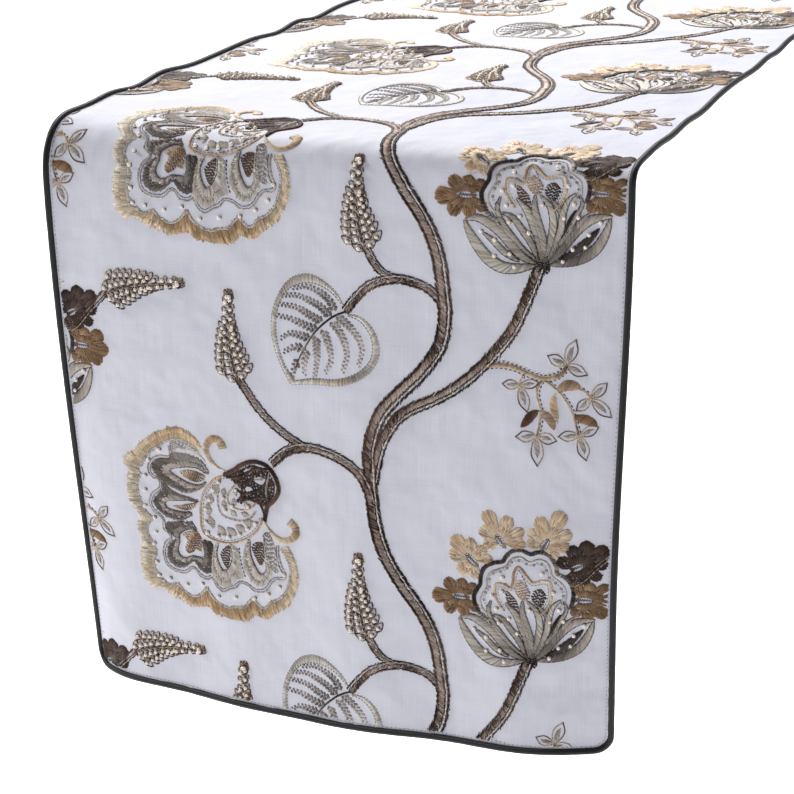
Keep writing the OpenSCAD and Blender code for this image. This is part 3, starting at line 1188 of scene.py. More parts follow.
@dataclass
class Needle:
    """Collects the stitches of one motif, in the motif's own flat millimetres.

    Attributes:
        rng: The source of its small irregularities.
        shadowed: Share of stitches painted darker, as painted shade in the gaps between threads.
        shadow_tone: How dark that painted shade is.
        rows: Groups of stitches: two ends, width, height, lift and colour.
        pearls: Places of the beads.
    """

    rng: np.random.Generator
    shadowed: float = 0.17
    shadow_tone: float = 0.66
    rows: list[np.ndarray] = field(default_factory=list)
    pearls: list[tuple[float, float]] = field(default_factory=list)

    def shade(self, threads: Sequence[Thread], share: np.ndarray, jitter: float = 0.1) -> np.ndarray:
        """Thread colours that change along a line.

        Args:
            threads: The threads, in order along it.
            share: Each stitch's share of the way along.
            jitter: How much neighbouring stitches differ.

        Returns:
            One colour a stitch.
        """
        stops = np.stack([t.linear for t in threads])
        at = np.linspace(0, 1, len(threads)) if len(threads) > 1 else np.zeros(1)
        share = np.clip(share + self.rng.normal(0, 0.04, len(share)), 0, 1)
        mixed = np.stack([np.interp(share, at, stops[:, k]) for k in range(3)], -1)
        # Painted shade: a random share of stitches is darkened to stand in for the shadow in the gaps
        # between threads.
        shadow = np.where(self.rng.random((len(share), 1)) < self.shadowed, self.shadow_tone, 1.0)
        return mixed * shadow * (1 + self.rng.normal(0, jitter, (len(share), 1)))

    def sew(
        self,
        starts: np.ndarray,
        ends: np.ndarray,
        colours: np.ndarray,
        width: float = 0.95,
        height: float = 0.5,
        lift: float = 0.0,
    ) -> None:
        """Adds stitches.

        Args:
            starts: Where each starts.
            ends: Where each ends.
            colours: Each one's colour.
            width: Width of the thread.
            height: Height of the thread.
            lift: Height of what lies under it.
        """
        n = len(starts)
        sizes = np.empty((n, 3))
        sizes[:, 0] = width * self.rng.uniform(0.85, 1.15, n)
        sizes[:, 1] = height * self.rng.uniform(0.8, 1.2, n)
        sizes[:, 2] = lift
        self.rows.append(np.concatenate([starts, ends, sizes, np.clip(colours, 0, 1)], axis=1))

    def satin(
        self,
        path: np.ndarray,
        left: float | Callable[[np.ndarray], np.ndarray],
        right: float | Callable[[np.ndarray], np.ndarray],
        threads: Sequence[Thread],
        slant: float = 0.3,
        jag: float = 0.15,
        pitch: float = 0.72,
        height: float = 0.55,
        lift: float = 0.0,
    ) -> None:
        """Covers a band along a line with stitches across it.

        Args:
            path: The line.
            left: How far the band reaches to its left.
            right: How far it reaches to its right.
            threads: The threads along it.
            slant: How far a stitch leans along the line, as a share of its reach.
            jag: Unevenness of the edges.
            pitch: Distance from one stitch to the next.
            height: Height of the stitches.
            lift: Height of what lies under them.
        """
        places, share, way = spaced(path, pitch)
        side = left_of(way)
        reach = [f(share) if callable(f) else np.full(len(share), float(f)) for f in (left, right)]
        far = [r + self.rng.normal(0, jag, len(share)) for r in reach]
        a = places + side * far[0][:, None] + way * (slant * reach[0])[:, None]
        b = places - side * far[1][:, None] - way * (slant * reach[1])[:, None]
        self.sew(a, b, self.shade(threads, share), height=height, lift=lift)

    def bridge(
        self,
        one: np.ndarray,
        other: np.ndarray,
        threads: Sequence[Thread],
        jag: float = 0.35,
        pitch: float = 0.75,
        fringe: float = 0.0,
        lift: float = 0.0,
        height: float = 0.55,
        rows: int = 1,
    ) -> None:
        """Covers the band between two lines with stitches from one to the other.

        Args:
            one: The first line.
            other: The second line.
            threads: The threads along them.
            jag: Unevenness of the second edge.
            pitch: Distance between stitches on the longer line.
            fringe: How far half of the stitches run past the second edge.
            lift: Height of what lies under them.
            height: Height of the stitches.
            rows: How many stitches make up one reach.
        """
        runs = [np.concatenate([[0], np.cumsum(np.linalg.norm(np.diff(p, axis=0), axis=1))])
                for p in (one, other)]
        n = max(3, int(max(run[-1] for run in runs) / pitch))
        if len(one) == len(other):
            longer = runs[0] if runs[0][-1] >= runs[1][-1] else runs[1]
            runs = [longer, longer]
        ends = []
        for line, run in zip((one, other), runs):
            at = np.linspace(0, run[-1], n)
            ends.append(np.stack([np.interp(at, run, line[:, k]) for k in (0, 1)], -1))
        a, b = ends
        way = b - a
        reach = np.maximum(np.linalg.norm(way, axis=1, keepdims=True), 1e-6)
        extra = self.rng.normal(0, jag, (n, 1)) + fringe * (self.rng.random((n, 1)) < 0.5)
        b = b + way / reach * extra
        colours = self.shade(threads, np.linspace(0, 1, n))
        joints = [np.zeros((n, 1))]
        joints += [k / rows + self.rng.uniform(-0.16, 0.16, (n, 1)) for k in range(1, rows)]
        joints.append(np.ones((n, 1)))
        for start, stop in zip(joints[:-1], joints[1:]):
            tint = colours * (1 + self.rng.normal(0, 0.05, (n, 1)))
            thick = 0.95 * max(1.0, pitch / 0.66)
            self.sew(a + (b - a) * start, a + (b - a) * stop, tint, thick, height, lift)

    def line(
        self,
        path: np.ndarray,
        threads: Sequence[Thread],
        length: float = 3.0,
        gap: float = 0.0,
        width: float = 0.9,
        height: float = 0.5,
        lift: float = 0.15,
        lean: float = 0.12,
    ) -> None:
        """Sews along a line, stitch after stitch.

        Args:
            path: The line.
            threads: The threads along it.
            length: Length of a stitch.
            gap: Distance between stitches.
            width: Width of the thread.
            height: Height of the thread.
            lift: Height of what lies under it.
            lean: How far each stitch turns off the line.
        """
        places, share, way = spaced(path, length + gap)
        middle = (places[:-1] + places[1:]) / 2
        way = places[1:] - places[:-1]
        way /= np.maximum(np.linalg.norm(way, axis=1, keepdims=True), 1e-9)
        reach = way * length * 0.62 + left_of(way) * lean
        colours = self.shade(threads, share[:-1])
        self.sew(middle - reach, middle + reach, colours, width, height, lift)

    def fill(
        self,
        outline: np.ndarray,
        angle: float,
        threads: Sequence[Thread],
        pitch: float = 0.8,
        longest: float = 5.0,
        lift: float = 0.0,
        holes: Sequence[np.ndarray] = (),
        jag: float = 0.2,
    ) -> None:
        """Covers an outline with rows of stitches.

        Args:
            outline: The outline.
            angle: Direction of the rows, in degrees.
            threads: The threads, from the first row to the last.
            pitch: Distance between rows.
            longest: Longest stitch in a row.
            lift: Height of what lies under them.
            holes: Outlines that stay bare.
            jag: Unevenness of the edges.
        """
        c, s = math.cos(math.radians(angle)), math.sin(math.radians(angle))
        turn = np.array([[c, s], [-s, c]])
        loops = [np.asarray(p) @ turn.T for p in (outline, *holes)]
        low, high = loops[0][:, 1].min(), loops[0][:, 1].max()
        starts, ends, shares = [], [], []
        for k, y in enumerate(np.arange(low + pitch / 2, high, pitch)):
            cuts = []
            for loop in loops:
                a, b = loop, np.roll(loop, -1, axis=0)
                hit = (a[:, 1] <= y) != (b[:, 1] <= y)
                t = (y - a[hit, 1]) / (b[hit, 1] - a[hit, 1])
                cuts += list(a[hit, 0] + t * (b[hit, 0] - a[hit, 0]))
            cuts.sort()
            for x0, x1 in zip(cuts[::2], cuts[1::2]):
                if x1 - x0 < 0.5:
                    continue
                n = max(1, math.ceil((x1 - x0) / longest))
                inner = np.linspace(x0, x1, n + 1)
                inner[1:-1] += longest * (0.25 if k % 2 else -0.25)
                inner[0] -= self.rng.normal(0, jag)
                inner[-1] += self.rng.normal(0, jag)
                for p, q in zip(inner[:-1], inner[1:]):
                    starts.append((p, y))
                    ends.append((q, y))
                    shares.append((y - low) / (high - low))
        if starts:
            a, b = np.array(starts) @ turn, np.array(ends) @ turn
            self.sew(a, b, self.shade(threads, np.array(shares), 0.14), 1.2, 0.55, lift)

    def fern(self, path: np.ndarray, reach: float, threads: Sequence[Thread], pitch: float = 1.5) -> None:
        """Sews pairs of short stitches that branch off a line, like a fern.

        Args:
            path: The line.
            reach: How far they reach to each side.
            threads: The threads along it.
            pitch: Distance between pairs.
        """
        places, share, way = spaced(path, pitch)
        side = left_of(way)
        size = reach * (1 - 0.45 * share)[:, None]
        for sign in (-1, 1):
            root = places + way * (0.5 if sign > 0 else 0.0) * pitch
            for spread, width in ((-0.16, 1.3), (0.16, 1.3)):
                out = (side * sign * 0.82 + way * 0.62) * size
                bulge = (way * 0.82 - side * sign * 0.62) * size * spread
                colours = self.shade(threads, share, 0.16)
                self.sew(root + bulge, root + out + bulge * 0.3, colours, width, 0.7, 0.05)
        self.line(path, threads, 2.0, 0.0, 0.7, 0.5, 0.0)

    def ring(self, centre: Sequence[float], radius: float, threads: Sequence[Thread], n: int = 6) -> None:
        """Sews a small round of stitches.

        Args:
            centre: Its centre.
            radius: Its radius.
            threads: Its threads.
            n: How many stitches it has.
        """
        angle = np.linspace(0, math.tau, n + 1)
        p = np.stack([centre[0] + radius * np.cos(angle), centre[1] + radius * np.sin(angle)], -1)
        self.sew(p[:-1], p[1:], self.shade(threads, np.linspace(0, 1, n)), 0.8, 0.5, 0.1)

    @property
    def stitches(self) -> np.ndarray:
        """All the stitches so far."""
        return np.concatenate(self.rows) if self.rows else np.empty((0, 10))


def moved(stitches: np.ndarray, shift: Sequence[float], degrees: float = 0.0) -> np.ndarray:
    """Stitches turned about the origin and then shifted.

    Args:
        stitches: The stitches.
        shift: The shift across and along.
        degrees: The turn.

    Returns:
        The new stitches.
    """
    c, s = math.cos(math.radians(degrees)), math.sin(math.radians(degrees))
    turn = np.array([[c, -s], [s, c]])
    done = stitches.copy()
    done[:, 0:2] = stitches[:, 0:2] @ turn.T + shift
    done[:, 2:4] = stitches[:, 2:4] @ turn.T + shift
    return done


# ---------------------------------------------------------------------------------------------------
# Motifs
# ---------------------------------------------------------------------------------------------------


@dataclass
class Motif:
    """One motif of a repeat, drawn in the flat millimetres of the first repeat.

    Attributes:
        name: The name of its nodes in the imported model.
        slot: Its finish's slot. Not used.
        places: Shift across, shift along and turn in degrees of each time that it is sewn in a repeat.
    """

    name: str
    slot: str
    places: Sequence[tuple[float, float, float]] = ((0, 0, 0),)

    def draw(self, needle: Needle) -> None:
        """Sews the motif once.

        Args:
            needle: The needle that takes its stitches.
        """
        raise NotImplementedError


def swelling(least: float, most: float, power: float = 0.8) -> Callable[[np.ndarray], np.ndarray]:
    """A half width that is least at both ends of a line and most in its middle.

    Args:
        least: The half width at the ends.
        most: The half width in the middle.
        power: How blunt the ends are. A lower power makes them blunter.

    Returns:
        The half width for each share of the way along.
    """

    def reach(share: np.ndarray) -> np.ndarray:
        """The half width at each share."""
        return least + (most - least) * np.sin(np.pi * np.clip(share, 0, 1)) ** power

    return reach


def growing(first: float, last: float, power: float = 1.0) -> Callable[[np.ndarray], np.ndarray]:
    """A half width that grows along a line.

    Args:
        first: The half width at the start.
        last: The half width at the end.
        power: How early it grows. A lower power makes it grow earlier.

    Returns:
        The half width for each share of the way along.
    """

    def reach(share: np.ndarray) -> np.ndarray:
        """The half width at each share."""
        return first + (last - first) * np.clip(share, 0, 1) ** power

    return reach


@dataclass
class Vines(Motif):
    """The main vine and its branches."""

    name: str = "vines"
    slot: str = "vine_thread"
    MAIN = (
        (72, 0), (79.5, 13), (82.5, 32), (80.5, 52), (77, 72), (68.5, 92), (54.5, 112), (42.5, 132),
        (36, 152), (33, 172), (31.5, 190), (31, 203), (34, 218), (40, 232), (52, 246), (64, 258),
    )
    TO_CROWN = (
        (34, 184), (36, 196), (39, 208), (44, 219), (52, 230), (63, 238), (75, 244), (88, 252),
        (99, 261), (109, 271), (119, 283), (128, 296), (134, 310), (139, 323), (144, 337),
    )
    TO_FAN = ((33, 168), (30, 178), (24, 188), (14, 195), (3, 199), (-9, 201), (-20, 200), (-31, 195),
              (-41, 186))
    TO_BUD = ((-16, 201), (-29, 207), (-42, 216), (-52, 226), (-60, 237), (-64, 243))
    TO_LEAF = ((81, 306), (75, 314), (65, 319), (52, 321), (40, 319), (30, 314), (22, 306), (15, 297))
    TO_SPIKE = ((50, 53), (41, 56), (34, 63), (29, 72))
    TO_SIDE = ((174, 129), (181, 134), (187, 141), (194, 148), (203, 157))
    # Distance from the centre line, half width and pitch of the dark ropes of the main vine.
    ROPES = ((3.5, 1.25, 1.0), (-4.4, 1.0, 1.15), (-1.6, 0.75, 1.2))

    def strand(self, needle: Needle, points: Points, size: float, tones: Sequence[Thread]) -> None:
        """Sews one stem: a shaded core between dark, uneven edges and a pale couched line.

        Args:
            needle: The needle.
            points: Points of the stem's centre line.
            size: Its width, as a share of the main vine's.
            tones: The core's threads along it.
        """
        path = curve(points)
        needle.satin(offset(path, 0.9 * size), 2.3 * size, 2.1 * size, tones, 0.7, 0.25, 0.72, 0.8)
        for side, width, pitch in self.ROPES:
            rope = offset(path, side * size)
            dark = (Thread.UMBER, Thread.DARK, Thread.BROWN, Thread.UMBER, Thread.DARK)
            needle.satin(rope, width * size, width * size, dark * 2, 1.9, 0.35, pitch, 0.85)
        needle.line(offset(path, 1.2 * size), (Thread.UMBER, Thread.BROWN, Thread.DARK) * 3, 3.0, 2.2, 0.8)
        needle.line(offset(path, -3.0 * size), [Thread.COUCHING], 3.4, 0.0, 1.3 * size, 0.75, 0.3)
        needle.line(offset(path, 4.7 * size), [Thread.TAUPE, Thread.MOCHA], 2.4, 1.4, 0.7)

    def draw(self, needle: Needle) -> None:
        """Sews one repeat of the vine.

        Args:
            needle: The needle that takes its stitches.
        """
        light = (Thread.COUCHING, Thread.MOCHA, Thread.MOCHA)
        shaded = (Thread.MOCHA, Thread.TAUPE, Thread.COUCHING, Thread.MOCHA)
        dark = (Thread.TAUPE, Thread.DARK, Thread.BROWN, Thread.MOCHA)
        main = (*self.MAIN, (self.MAIN[0][0], self.MAIN[0][1] + REPEAT))
        tones = (*dark, *light, *light, *shaded, *light, *dark, *dark, *shaded, *light)
        self.strand(needle, main, 1.0, tones)
        self.strand(needle, self.TO_CROWN, 0.82, (*light, *dark, *shaded, *dark, *dark))
        self.strand(needle, self.TO_FAN, 0.74, (*light, *shaded, *dark))
        self.strand(needle, self.TO_BUD, 0.66, (*shaded, *light, Thread.TAUPE))
        self.strand(needle, self.TO_LEAF, 0.66, (*shaded, *dark, *shaded, *dark))
        self.strand(needle, self.TO_SPIKE, 0.62, (*shaded, *shaded))
        self.strand(needle, self.TO_SIDE, 0.55, (*dark, *shaded))


@dataclass
class HeartLeaf(Motif):
    """A heart-shaped leaf with a shaded border and fern veins."""

    name: str = "heart_leaves"
    slot: str = "cream_thread"
    OUTER_RIGHT = ((17, 295), (24, 294.5), (30, 291), (35, 285), (38, 277), (38, 269), (35, 262),
                   (29, 255), (19, 249), (7, 246), (-8, 245.5), (-25, 243))
    INNER_RIGHT = ((16, 294), (23, 292), (28, 288), (32, 282), (33.5, 276), (33, 269), (30.5, 264),
                   (26, 259), (18, 254), (7, 250.5), (-8, 249.5), (-21, 246.5))
    OUTER_LEFT = ((14, 300), (9, 308), (2, 314), (-7, 318.5), (-16, 318.5), (-25, 314), (-32, 305),
                  (-37, 293), (-38.5, 280), (-36.5, 267), (-31.5, 254), (-25, 243))
    INNER_LEFT = ((12, 301), (7, 306.5), (1, 310.5), (-7, 313), (-16, 312.5), (-24, 308.5), (-30, 301),
                  (-34, 291), (-35, 280), (-33.5, 268), (-29, 256), (-22, 246.5))
    RIB = ((16, 297), (10, 294.5), (4, 291), (-3, 285), (-9, 278), (-14, 270), (-18.5, 262), (-21, 255))
    PALE = (
        ((9, 293), (17, 287), (23, 280), (26, 272), (24, 263)),
        ((5, 289), (10, 283), (14, 275), (15.5, 267), (13, 258)),
        ((-1, 283), (1.5, 276), (3.5, 269), (4, 262), (1, 256)),
        ((-6, 278), (-6, 270), (-6, 262), (-7.5, 251)),
        ((-13, 269), (-14, 264), (-15, 258), (-15, 253)),
    )
    SHADED = (
        ((7, 296), (3, 303), (-4, 308), (-12, 310.5), (-20, 309)),
        ((4, 292), (-3, 298), (-12, 302), (-20, 304), (-28, 303)),
        ((-2, 288), (-10, 291.5), (-20, 296), (-31, 297)),
        ((-6, 282.5), (-15, 285), (-24, 288), (-32, 289)),
        ((-11, 276), (-18, 277.5), (-25, 278), (-30, 275)),
        ((-16, 269), (-22, 269), (-28, 266)),
        ((-19, 260), (-22, 256), (-23.5, 251)),
    )

    def draw(self, needle: Needle) -> None:
        """Sews the leaf.

        Args:
            needle: The needle that takes its stitches.
        """
        cream, grey = Thread.CREAM, Thread.GREY
        right = (cream, cream, cream, Thread.SILVER, grey, Thread.STRAW, cream, cream)
        left = (cream, cream, Thread.SILVER, Thread.ASH, Thread.SILVER, cream, cream, cream)
        for outer, inner, tones in (
            (self.OUTER_RIGHT, self.INNER_RIGHT, right), (self.OUTER_LEFT, self.INNER_LEFT, left)
        ):
            needle.bridge(curve(inner), curve(outer), tones, jag=0.12, pitch=0.66, height=0.75)
            needle.line(curve(outer), [Thread.GREY], 2.2, 0.2, 0.45, 0.45)
            needle.line(curve(inner), [Thread.SLATE], 2.2, 0.1, 0.55, 0.5)
        rib = curve(self.RIB)
        needle.satin(rib, growing(1.3, 0.7), growing(1.2, 0.6), (Thread.UMBER, Thread.DARK,
                     Thread.SLATE, Thread.BROWN), 0.9, 0.1, 0.8, 0.7, 0.1)
        for vein in self.PALE:
            needle.fern(curve(vein), 4.2, (Thread.GREY, Thread.ASH, Thread.ASH), 2.7)
        for vein in self.SHADED:
            needle.fern(curve(vein), 4.2, (Thread.SLATE, Thread.GREY, Thread.SLATE), 2.7)


@dataclass
class FanFlower(Motif):
    """The fan flower's scalloped, fringed border and its two curled hooks."""

    name: str = "fan_borders"
    slot: str = "gold_thread"
    OUTER = (
        (-95, 191), (-102, 198), (-112, 202), (-123, 199), (-133, 194), (-142, 188), (-148, 181),
        (-155, 176), (-158, 170), (-154, 164), (-157, 157), (-157, 148), (-155, 140), (-150, 134),
        (-148, 130), (-151, 125), (-151, 118), (-148, 112), (-150, 106), (-151, 98), (-150, 90),
        (-149, 83), (-144, 78), (-135, 78), (-127, 74), (-119, 72), (-111, 69), (-103, 70),
        (-97, 72), (-92, 68), (-84, 67), (-76, 66), (-69, 66), (-63, 68), (-59, 72), (-54, 71),
        (-49, 71), (-43, 76), (-37, 80), (-31, 85), (-27, 93), (-24, 101), (-24, 110), (-26, 119),
        (-30, 127),
    )
    INNER = (
        (-97, 187), (-102, 191), (-111, 194), (-121, 192), (-129, 187), (-136, 182), (-141, 176),
        (-145, 171), (-148, 167), (-146, 163), (-149, 157), (-149, 149), (-147, 141), (-143, 134),
        (-139, 131), (-143, 126), (-144, 119), (-141, 113), (-139, 106), (-141, 98), (-140, 90),
        (-139, 85), (-135, 84), (-129, 81), (-122, 83), (-117, 79), (-110, 76), (-103, 78),
        (-97, 84), (-93, 79), (-87, 75), (-80, 73), (-73, 75), (-67, 76), (-60, 83), (-55, 79),
        (-50, 78), (-46, 83), (-39, 87), (-34, 92), (-31, 99), (-29, 106), (-29, 113), (-32, 120),
        (-36, 126),
    )
    HOOKS = (
        ((-76, 175), (-83, 177.5), (-88.5, 182), (-91, 188), (-89.5, 194), (-85, 197.5), (-80, 196),
         (-78, 191.5)),
        ((-49, 144), (-45, 138), (-40, 133.5), (-34, 131.5), (-28, 133.5), (-24, 138), (-24.5, 143),
         (-29, 146)),
    )
    PEARLS = (
        (-128, 184), (-137, 175), (-141, 163), (-142, 152), (-143, 140), (-136, 132), (-136, 121),
        (-138, 112), (-137, 98), (-136, 88), (-127, 87), (-113, 85), (-100, 88), (-87, 81),
        (-73, 83), (-58, 85), (-47, 90), (-38, 97), (-34, 107),
    )

    def draw(self, needle: Needle) -> None:
        """Sews the border with its hooks.

        Args:
            needle: The needle that takes its stitches.
        """
        outer, inner = curve(self.OUTER), curve(self.INNER)
        gold, straw, cream = Thread.GOLD, Thread.STRAW, Thread.CREAM
        tones = (straw, gold, gold, straw, straw, cream, straw, cream, straw, straw, gold, gold,
                 Thread.OLIVE, gold, gold, straw, straw, straw)
        needle.bridge(inner, outer, tones, jag=0.5, pitch=0.62, fringe=1.2, height=0.7)
        middle = inner + (outer - inner) * 0.45
        needle.bridge(middle, outer, tones, jag=0.6, pitch=1.2, lift=0.35)
        # Pale grey stitches that run in past the inner edge of the border: painted shade under its raised
        # edge.
        shade = inner + (outer - inner) * 0.12
        fringe = inner - (outer - inner) * 0.22
        needle.bridge(shade, fringe, (Thread.ASH, Thread.SILVER) * 6, jag=0.5, pitch=0.8, lift=0.2)
        needle.line(offset(inner, 1.3), (Thread.SILVER, Thread.GREY) * 5, 2.0, 0.1, 0.6)
        for points in self.HOOKS:
            hook = curve(points)
            swell = growing(0.8, 3.7, 0.7)
            tones = (cream, straw, straw, gold, straw)
            needle.satin(hook, swell, swell, tones, 0.1, 0.15, 0.6, 0.9, 0.1)
        needle.pearls += list(self.PEARLS)


@dataclass
class FanHeart(Motif):
    """The petals, shield and knob inside the fan flower."""

    name: str = "fan_petals"
    slot: str = "silver_thread"
    DARK_PETALS = (
        (
            ((-89, 173), (-95, 181), (-107, 184), (-119, 183), (-122, 178), (-130, 177), (-136, 171),
             (-134, 165), (-127, 159), (-118, 156), (-110, 154), (-102, 156), (-96, 160), (-92, 164)),
            ((-92, 171), (-98, 174), (-106, 174), (-113, 172.5), (-119, 171), (-121, 169), (-118, 167),
             (-112, 164.5), (-106, 162.5), (-100, 162), (-96, 163), (-93, 165)),
            ((-93, 170), (-100, 172), (-107, 172), (-113, 169), (-108, 165), (-101, 163.5), (-95, 166)),
        ),
        (
            ((-100, 151), (-107, 152), (-115, 153), (-122, 155.5), (-128, 160), (-129, 154),
             (-134, 149), (-137, 143), (-133, 137), (-126, 133), (-118, 132), (-111, 134), (-105, 138)),
            ((-100, 149), (-108, 149), (-114, 148), (-120, 147), (-125, 146), (-127, 143),
             (-124, 140.5), (-118, 140), (-112, 140), (-107, 141)),
            ((-101, 149), (-107, 147), (-113, 145), (-121, 143), (-114, 141), (-107, 142), (-103, 145)),
        ),
        (
            ((-102, 129), (-106, 134), (-114, 133), (-122, 131), (-128, 129), (-127, 123), (-121, 119),
             (-127, 113), (-129, 105), (-127, 99), (-121, 96), (-113, 98), (-107, 103), (-102, 98),
             (-97, 96), (-92, 98), (-91, 106), (-89, 114), (-90, 121)),
            ((-103, 127), (-107, 128), (-112, 126), (-116, 123), (-117, 120), (-117, 116), (-119, 111),
             (-118, 107), (-115, 105), (-111, 106), (-107, 108), (-102, 108), (-98, 108), (-97, 112),
             (-98, 117), (-98, 121)),
            ((-102, 127), (-109, 126), (-115, 122), (-111, 119), (-113, 113), (-112, 109),
             (-107, 110), (-104, 113), (-100, 112), (-99, 118), (-99, 123)),
        ),
    )
    PALE_PETALS = (
        (
            ((-87, 121), (-91, 114), (-92, 105), (-92, 96), (-88, 90), (-82, 88), (-77, 90), (-73, 95),
             (-67, 98), (-68, 104), (-69, 112), (-69, 118), (-73, 122)),
            ((-85, 120), (-87, 114), (-86, 108), (-83, 102), (-80, 102), (-77, 106), (-75, 111),
             (-75, 117), (-76, 121)),
            ((-84, 113), (-82, 106), (-79, 103), (-77, 109), (-76, 116), (-77, 121), (-81, 118)),
        ),
        (
            ((-62, 128), (-66, 119), (-67, 109), (-64, 101), (-59, 95), (-53, 94), (-48, 98),
             (-44, 104), (-45, 112), (-47, 120), (-47, 128)),
            ((-60, 127), (-60, 119), (-58, 112), (-54, 105), (-51, 104), (-48, 109), (-49, 116),
             (-50, 127)),
            ((-59, 123), (-57, 116), (-53, 110), (-50, 114), (-49.5, 120), (-50, 127), (-55, 127)),
        ),
    )
    CONTOURS = (
        ((-121, 187), (-121, 180), (-129, 179), (-136, 175), (-139, 168), (-136, 162), (-131, 161),
         (-131, 155), (-137, 150), (-140, 143), (-138, 137), (-132, 133), (-130, 130), (-130, 124),
         (-125, 119), (-130, 113), (-132, 105), (-130, 97), (-123, 93), (-114, 93), (-107, 98),
         (-102, 93), (-96, 92), (-92, 94)),
        ((-92, 93), (-88, 87), (-83, 85), (-78, 88), (-73, 90), (-69, 94), (-63, 93), (-59, 90),
         (-53, 90), (-48, 93), (-44, 99), (-40, 102), (-35, 102), (-33, 106), (-36, 112), (-38, 120),
         (-38, 127)),
    )
    SHIELD = ((-78, 172), (-86, 168), (-92, 161), (-96, 154), (-98, 146), (-98.5, 137), (-97.5, 128),
              (-92, 124), (-85, 122.5), (-77, 122.5), (-70, 124.5), (-62, 128.5), (-56, 133.5),
              (-52, 139), (-50, 145))
    CHAIN = ((-81, 170), (-83, 163), (-84, 155), (-83.5, 148), (-81, 143), (-74, 141), (-66, 141),
             (-59, 144), (-55, 149))
    CRESCENT = ((-68, 168), (-73, 163), (-76, 157), (-75, 151.5), (-70, 149), (-64, 149), (-58, 151.5),
                (-54, 156))
    LOOPS = ((-85, 161, 60), (-90, 153, 75), (-92, 145, 88), (-90, 136, 105), (-82, 131, 125),
             (-74, 131.5, 145), (-67, 135, 160), (-60, 140, -178))
    ROPES = (
        ((-78, 172.5), (-71, 176.5), (-65, 181), (-58, 184.5), (-50, 185), (-43, 182), (-38, 175),
         (-36.5, 167), (-40, 160), (-45, 155), (-47, 149), (-48, 144)),
        ((-76, 171), (-68, 172), (-61, 176), (-54, 180), (-45, 181)),
        ((-69, 168), (-62, 169), (-57, 172), (-55, 177)),
        ((-68, 155), (-64, 160), (-57, 163), (-50, 166), (-46, 172), (-44, 179)),
        ((-66, 155), (-58, 158), (-51, 160), (-44, 160)),
        ((-68, 163), (-63, 158), (-66, 154)),
        ((-53, 158), (-50, 153), (-48, 148)),
    )

    def petal(
        self, needle: Needle, shape: Sequence[Points], shell: Sequence[Thread], heart: Sequence[Thread]
    ) -> None:
        """Sews one petal: a thick shell round a window with a textured heart.

        Args:
            needle: The needle.
            shape: The shell's outer and inner edges, and the heart's outline.
            shell: Threads of the shell.
            heart: Threads of the heart.
        """
        outer, window, core = curve(shape[0]), curve(shape[1]), curve(shape[2], closed=True)
        needle.bridge(window, outer, shell, jag=0.35, pitch=0.8, rows=2, height=0.8)
        deeper = between(window, outer, 0.45)
        needle.bridge(window, deeper, (shell[0], Thread.ASH, shell[-1]), jag=0.7, pitch=1.3, lift=0.4)
        needle.line(window, [Thread.PEAT, Thread.SLATE], 3.0, 0.1, 0.6, 0.5, 0.35)
        needle.fill(core, 62, heart, pitch=0.72, longest=2.4, lift=0.3)

    def draw(self, needle: Needle) -> None:
        """Sews everything inside the border.

        Args:
            needle: The needle that takes its stitches.
        """
        slate, grey, silver = Thread.SLATE, Thread.GREY, Thread.SILVER
        gold, cocoa, umber = Thread.GOLD, Thread.COCOA, Thread.UMBER
        shells = ((grey, grey, slate, slate, grey), (slate, slate, slate), (slate, slate, Thread.PEAT))
        for shape, shell in zip(self.DARK_PETALS, shells):
            self.petal(needle, shape, shell, (gold, cocoa, gold, Thread.STRAW))
        for shape in self.PALE_PETALS:
            self.petal(needle, shape, (silver, Thread.ASH, silver, silver), (cocoa, Thread.BARK))
        blade = curve([(-50, 133), (-46, 136), (-42, 130), (-40, 122), (-38, 113), (-39, 106),
                       (-43, 107), (-46, 112), (-47, 120), (-49, 126)], closed=True)
        needle.fill(blade, 82, (silver, grey, slate), longest=3.5)
        veil = curve([(-120, 181), (-120, 190), (-112, 192.5), (-103, 190), (-96, 186), (-92, 180),
                      (-99, 184), (-108, 186), (-115, 185)], closed=True)
        needle.fill(veil, 15, (Thread.ASH, silver, grey), longest=4)
        for points in self.CONTOURS:
            line = curve(points)
            tones = (silver, grey, silver, Thread.ASH, silver, grey)
            needle.satin(line, 1.15, 1.15, tones, 0.4, 0.1, 0.7, 0.7)
            needle.line(offset(line, 1.8), [Thread.PEAT], 3.2, 0.1, 0.55)
        for points in (
            ((-61.5, 129), (-61.5, 119), (-59, 110), (-54, 103)), ((-69, 121), (-68, 110), (-65, 99)),
            ((-86, 119), (-88, 112), (-86, 106), (-82, 100)), ((-91, 121), (-92.5, 110), (-92, 97)),
            ((-45, 105), (-47, 112), (-48, 121), (-49, 130)),
        ):
            needle.line(curve(points), (umber, slate), 2.4, 0.1, 0.9, 0.55, 0.3)
        shield = curve(self.SHIELD)
        needle.satin(shield, 1.3, 1.3, (gold, Thread.STRAW, gold, gold, Thread.STRAW, gold), 0.4, 0.1,
                     0.62, 0.9, 0.2)
        needle.line(offset(shield, 1.9), [Thread.COCOA], 2.6, 0.2, 0.5)
        for u, v, degrees in self.LOOPS:
            self.loop(needle, u, v, degrees)
        chain = spaced(curve(self.CHAIN), 1.7)[0]
        for k, knot in enumerate(chain):
            needle.ring(knot, 0.8, (gold, Thread.STRAW) if k % 2 else (gold, cocoa), 5)
        crescent = curve(self.CRESCENT)
        needle.satin(crescent, 1.0, 1.0, (gold, Thread.STRAW, gold), 0.4, 0.1, 0.65, 0.8, 0.2)
        for u, v, degrees in ((-79, 160, 70), (-79, 151, 95), (-72, 145.5, 140), (-63, 146, 170)):
            self.loop(needle, u, v, degrees, 0.7)
        for u, v in ((-70, 161), (-71, 154), (-62, 153)):
            self.loop(needle, u, v, 100, 0.6)
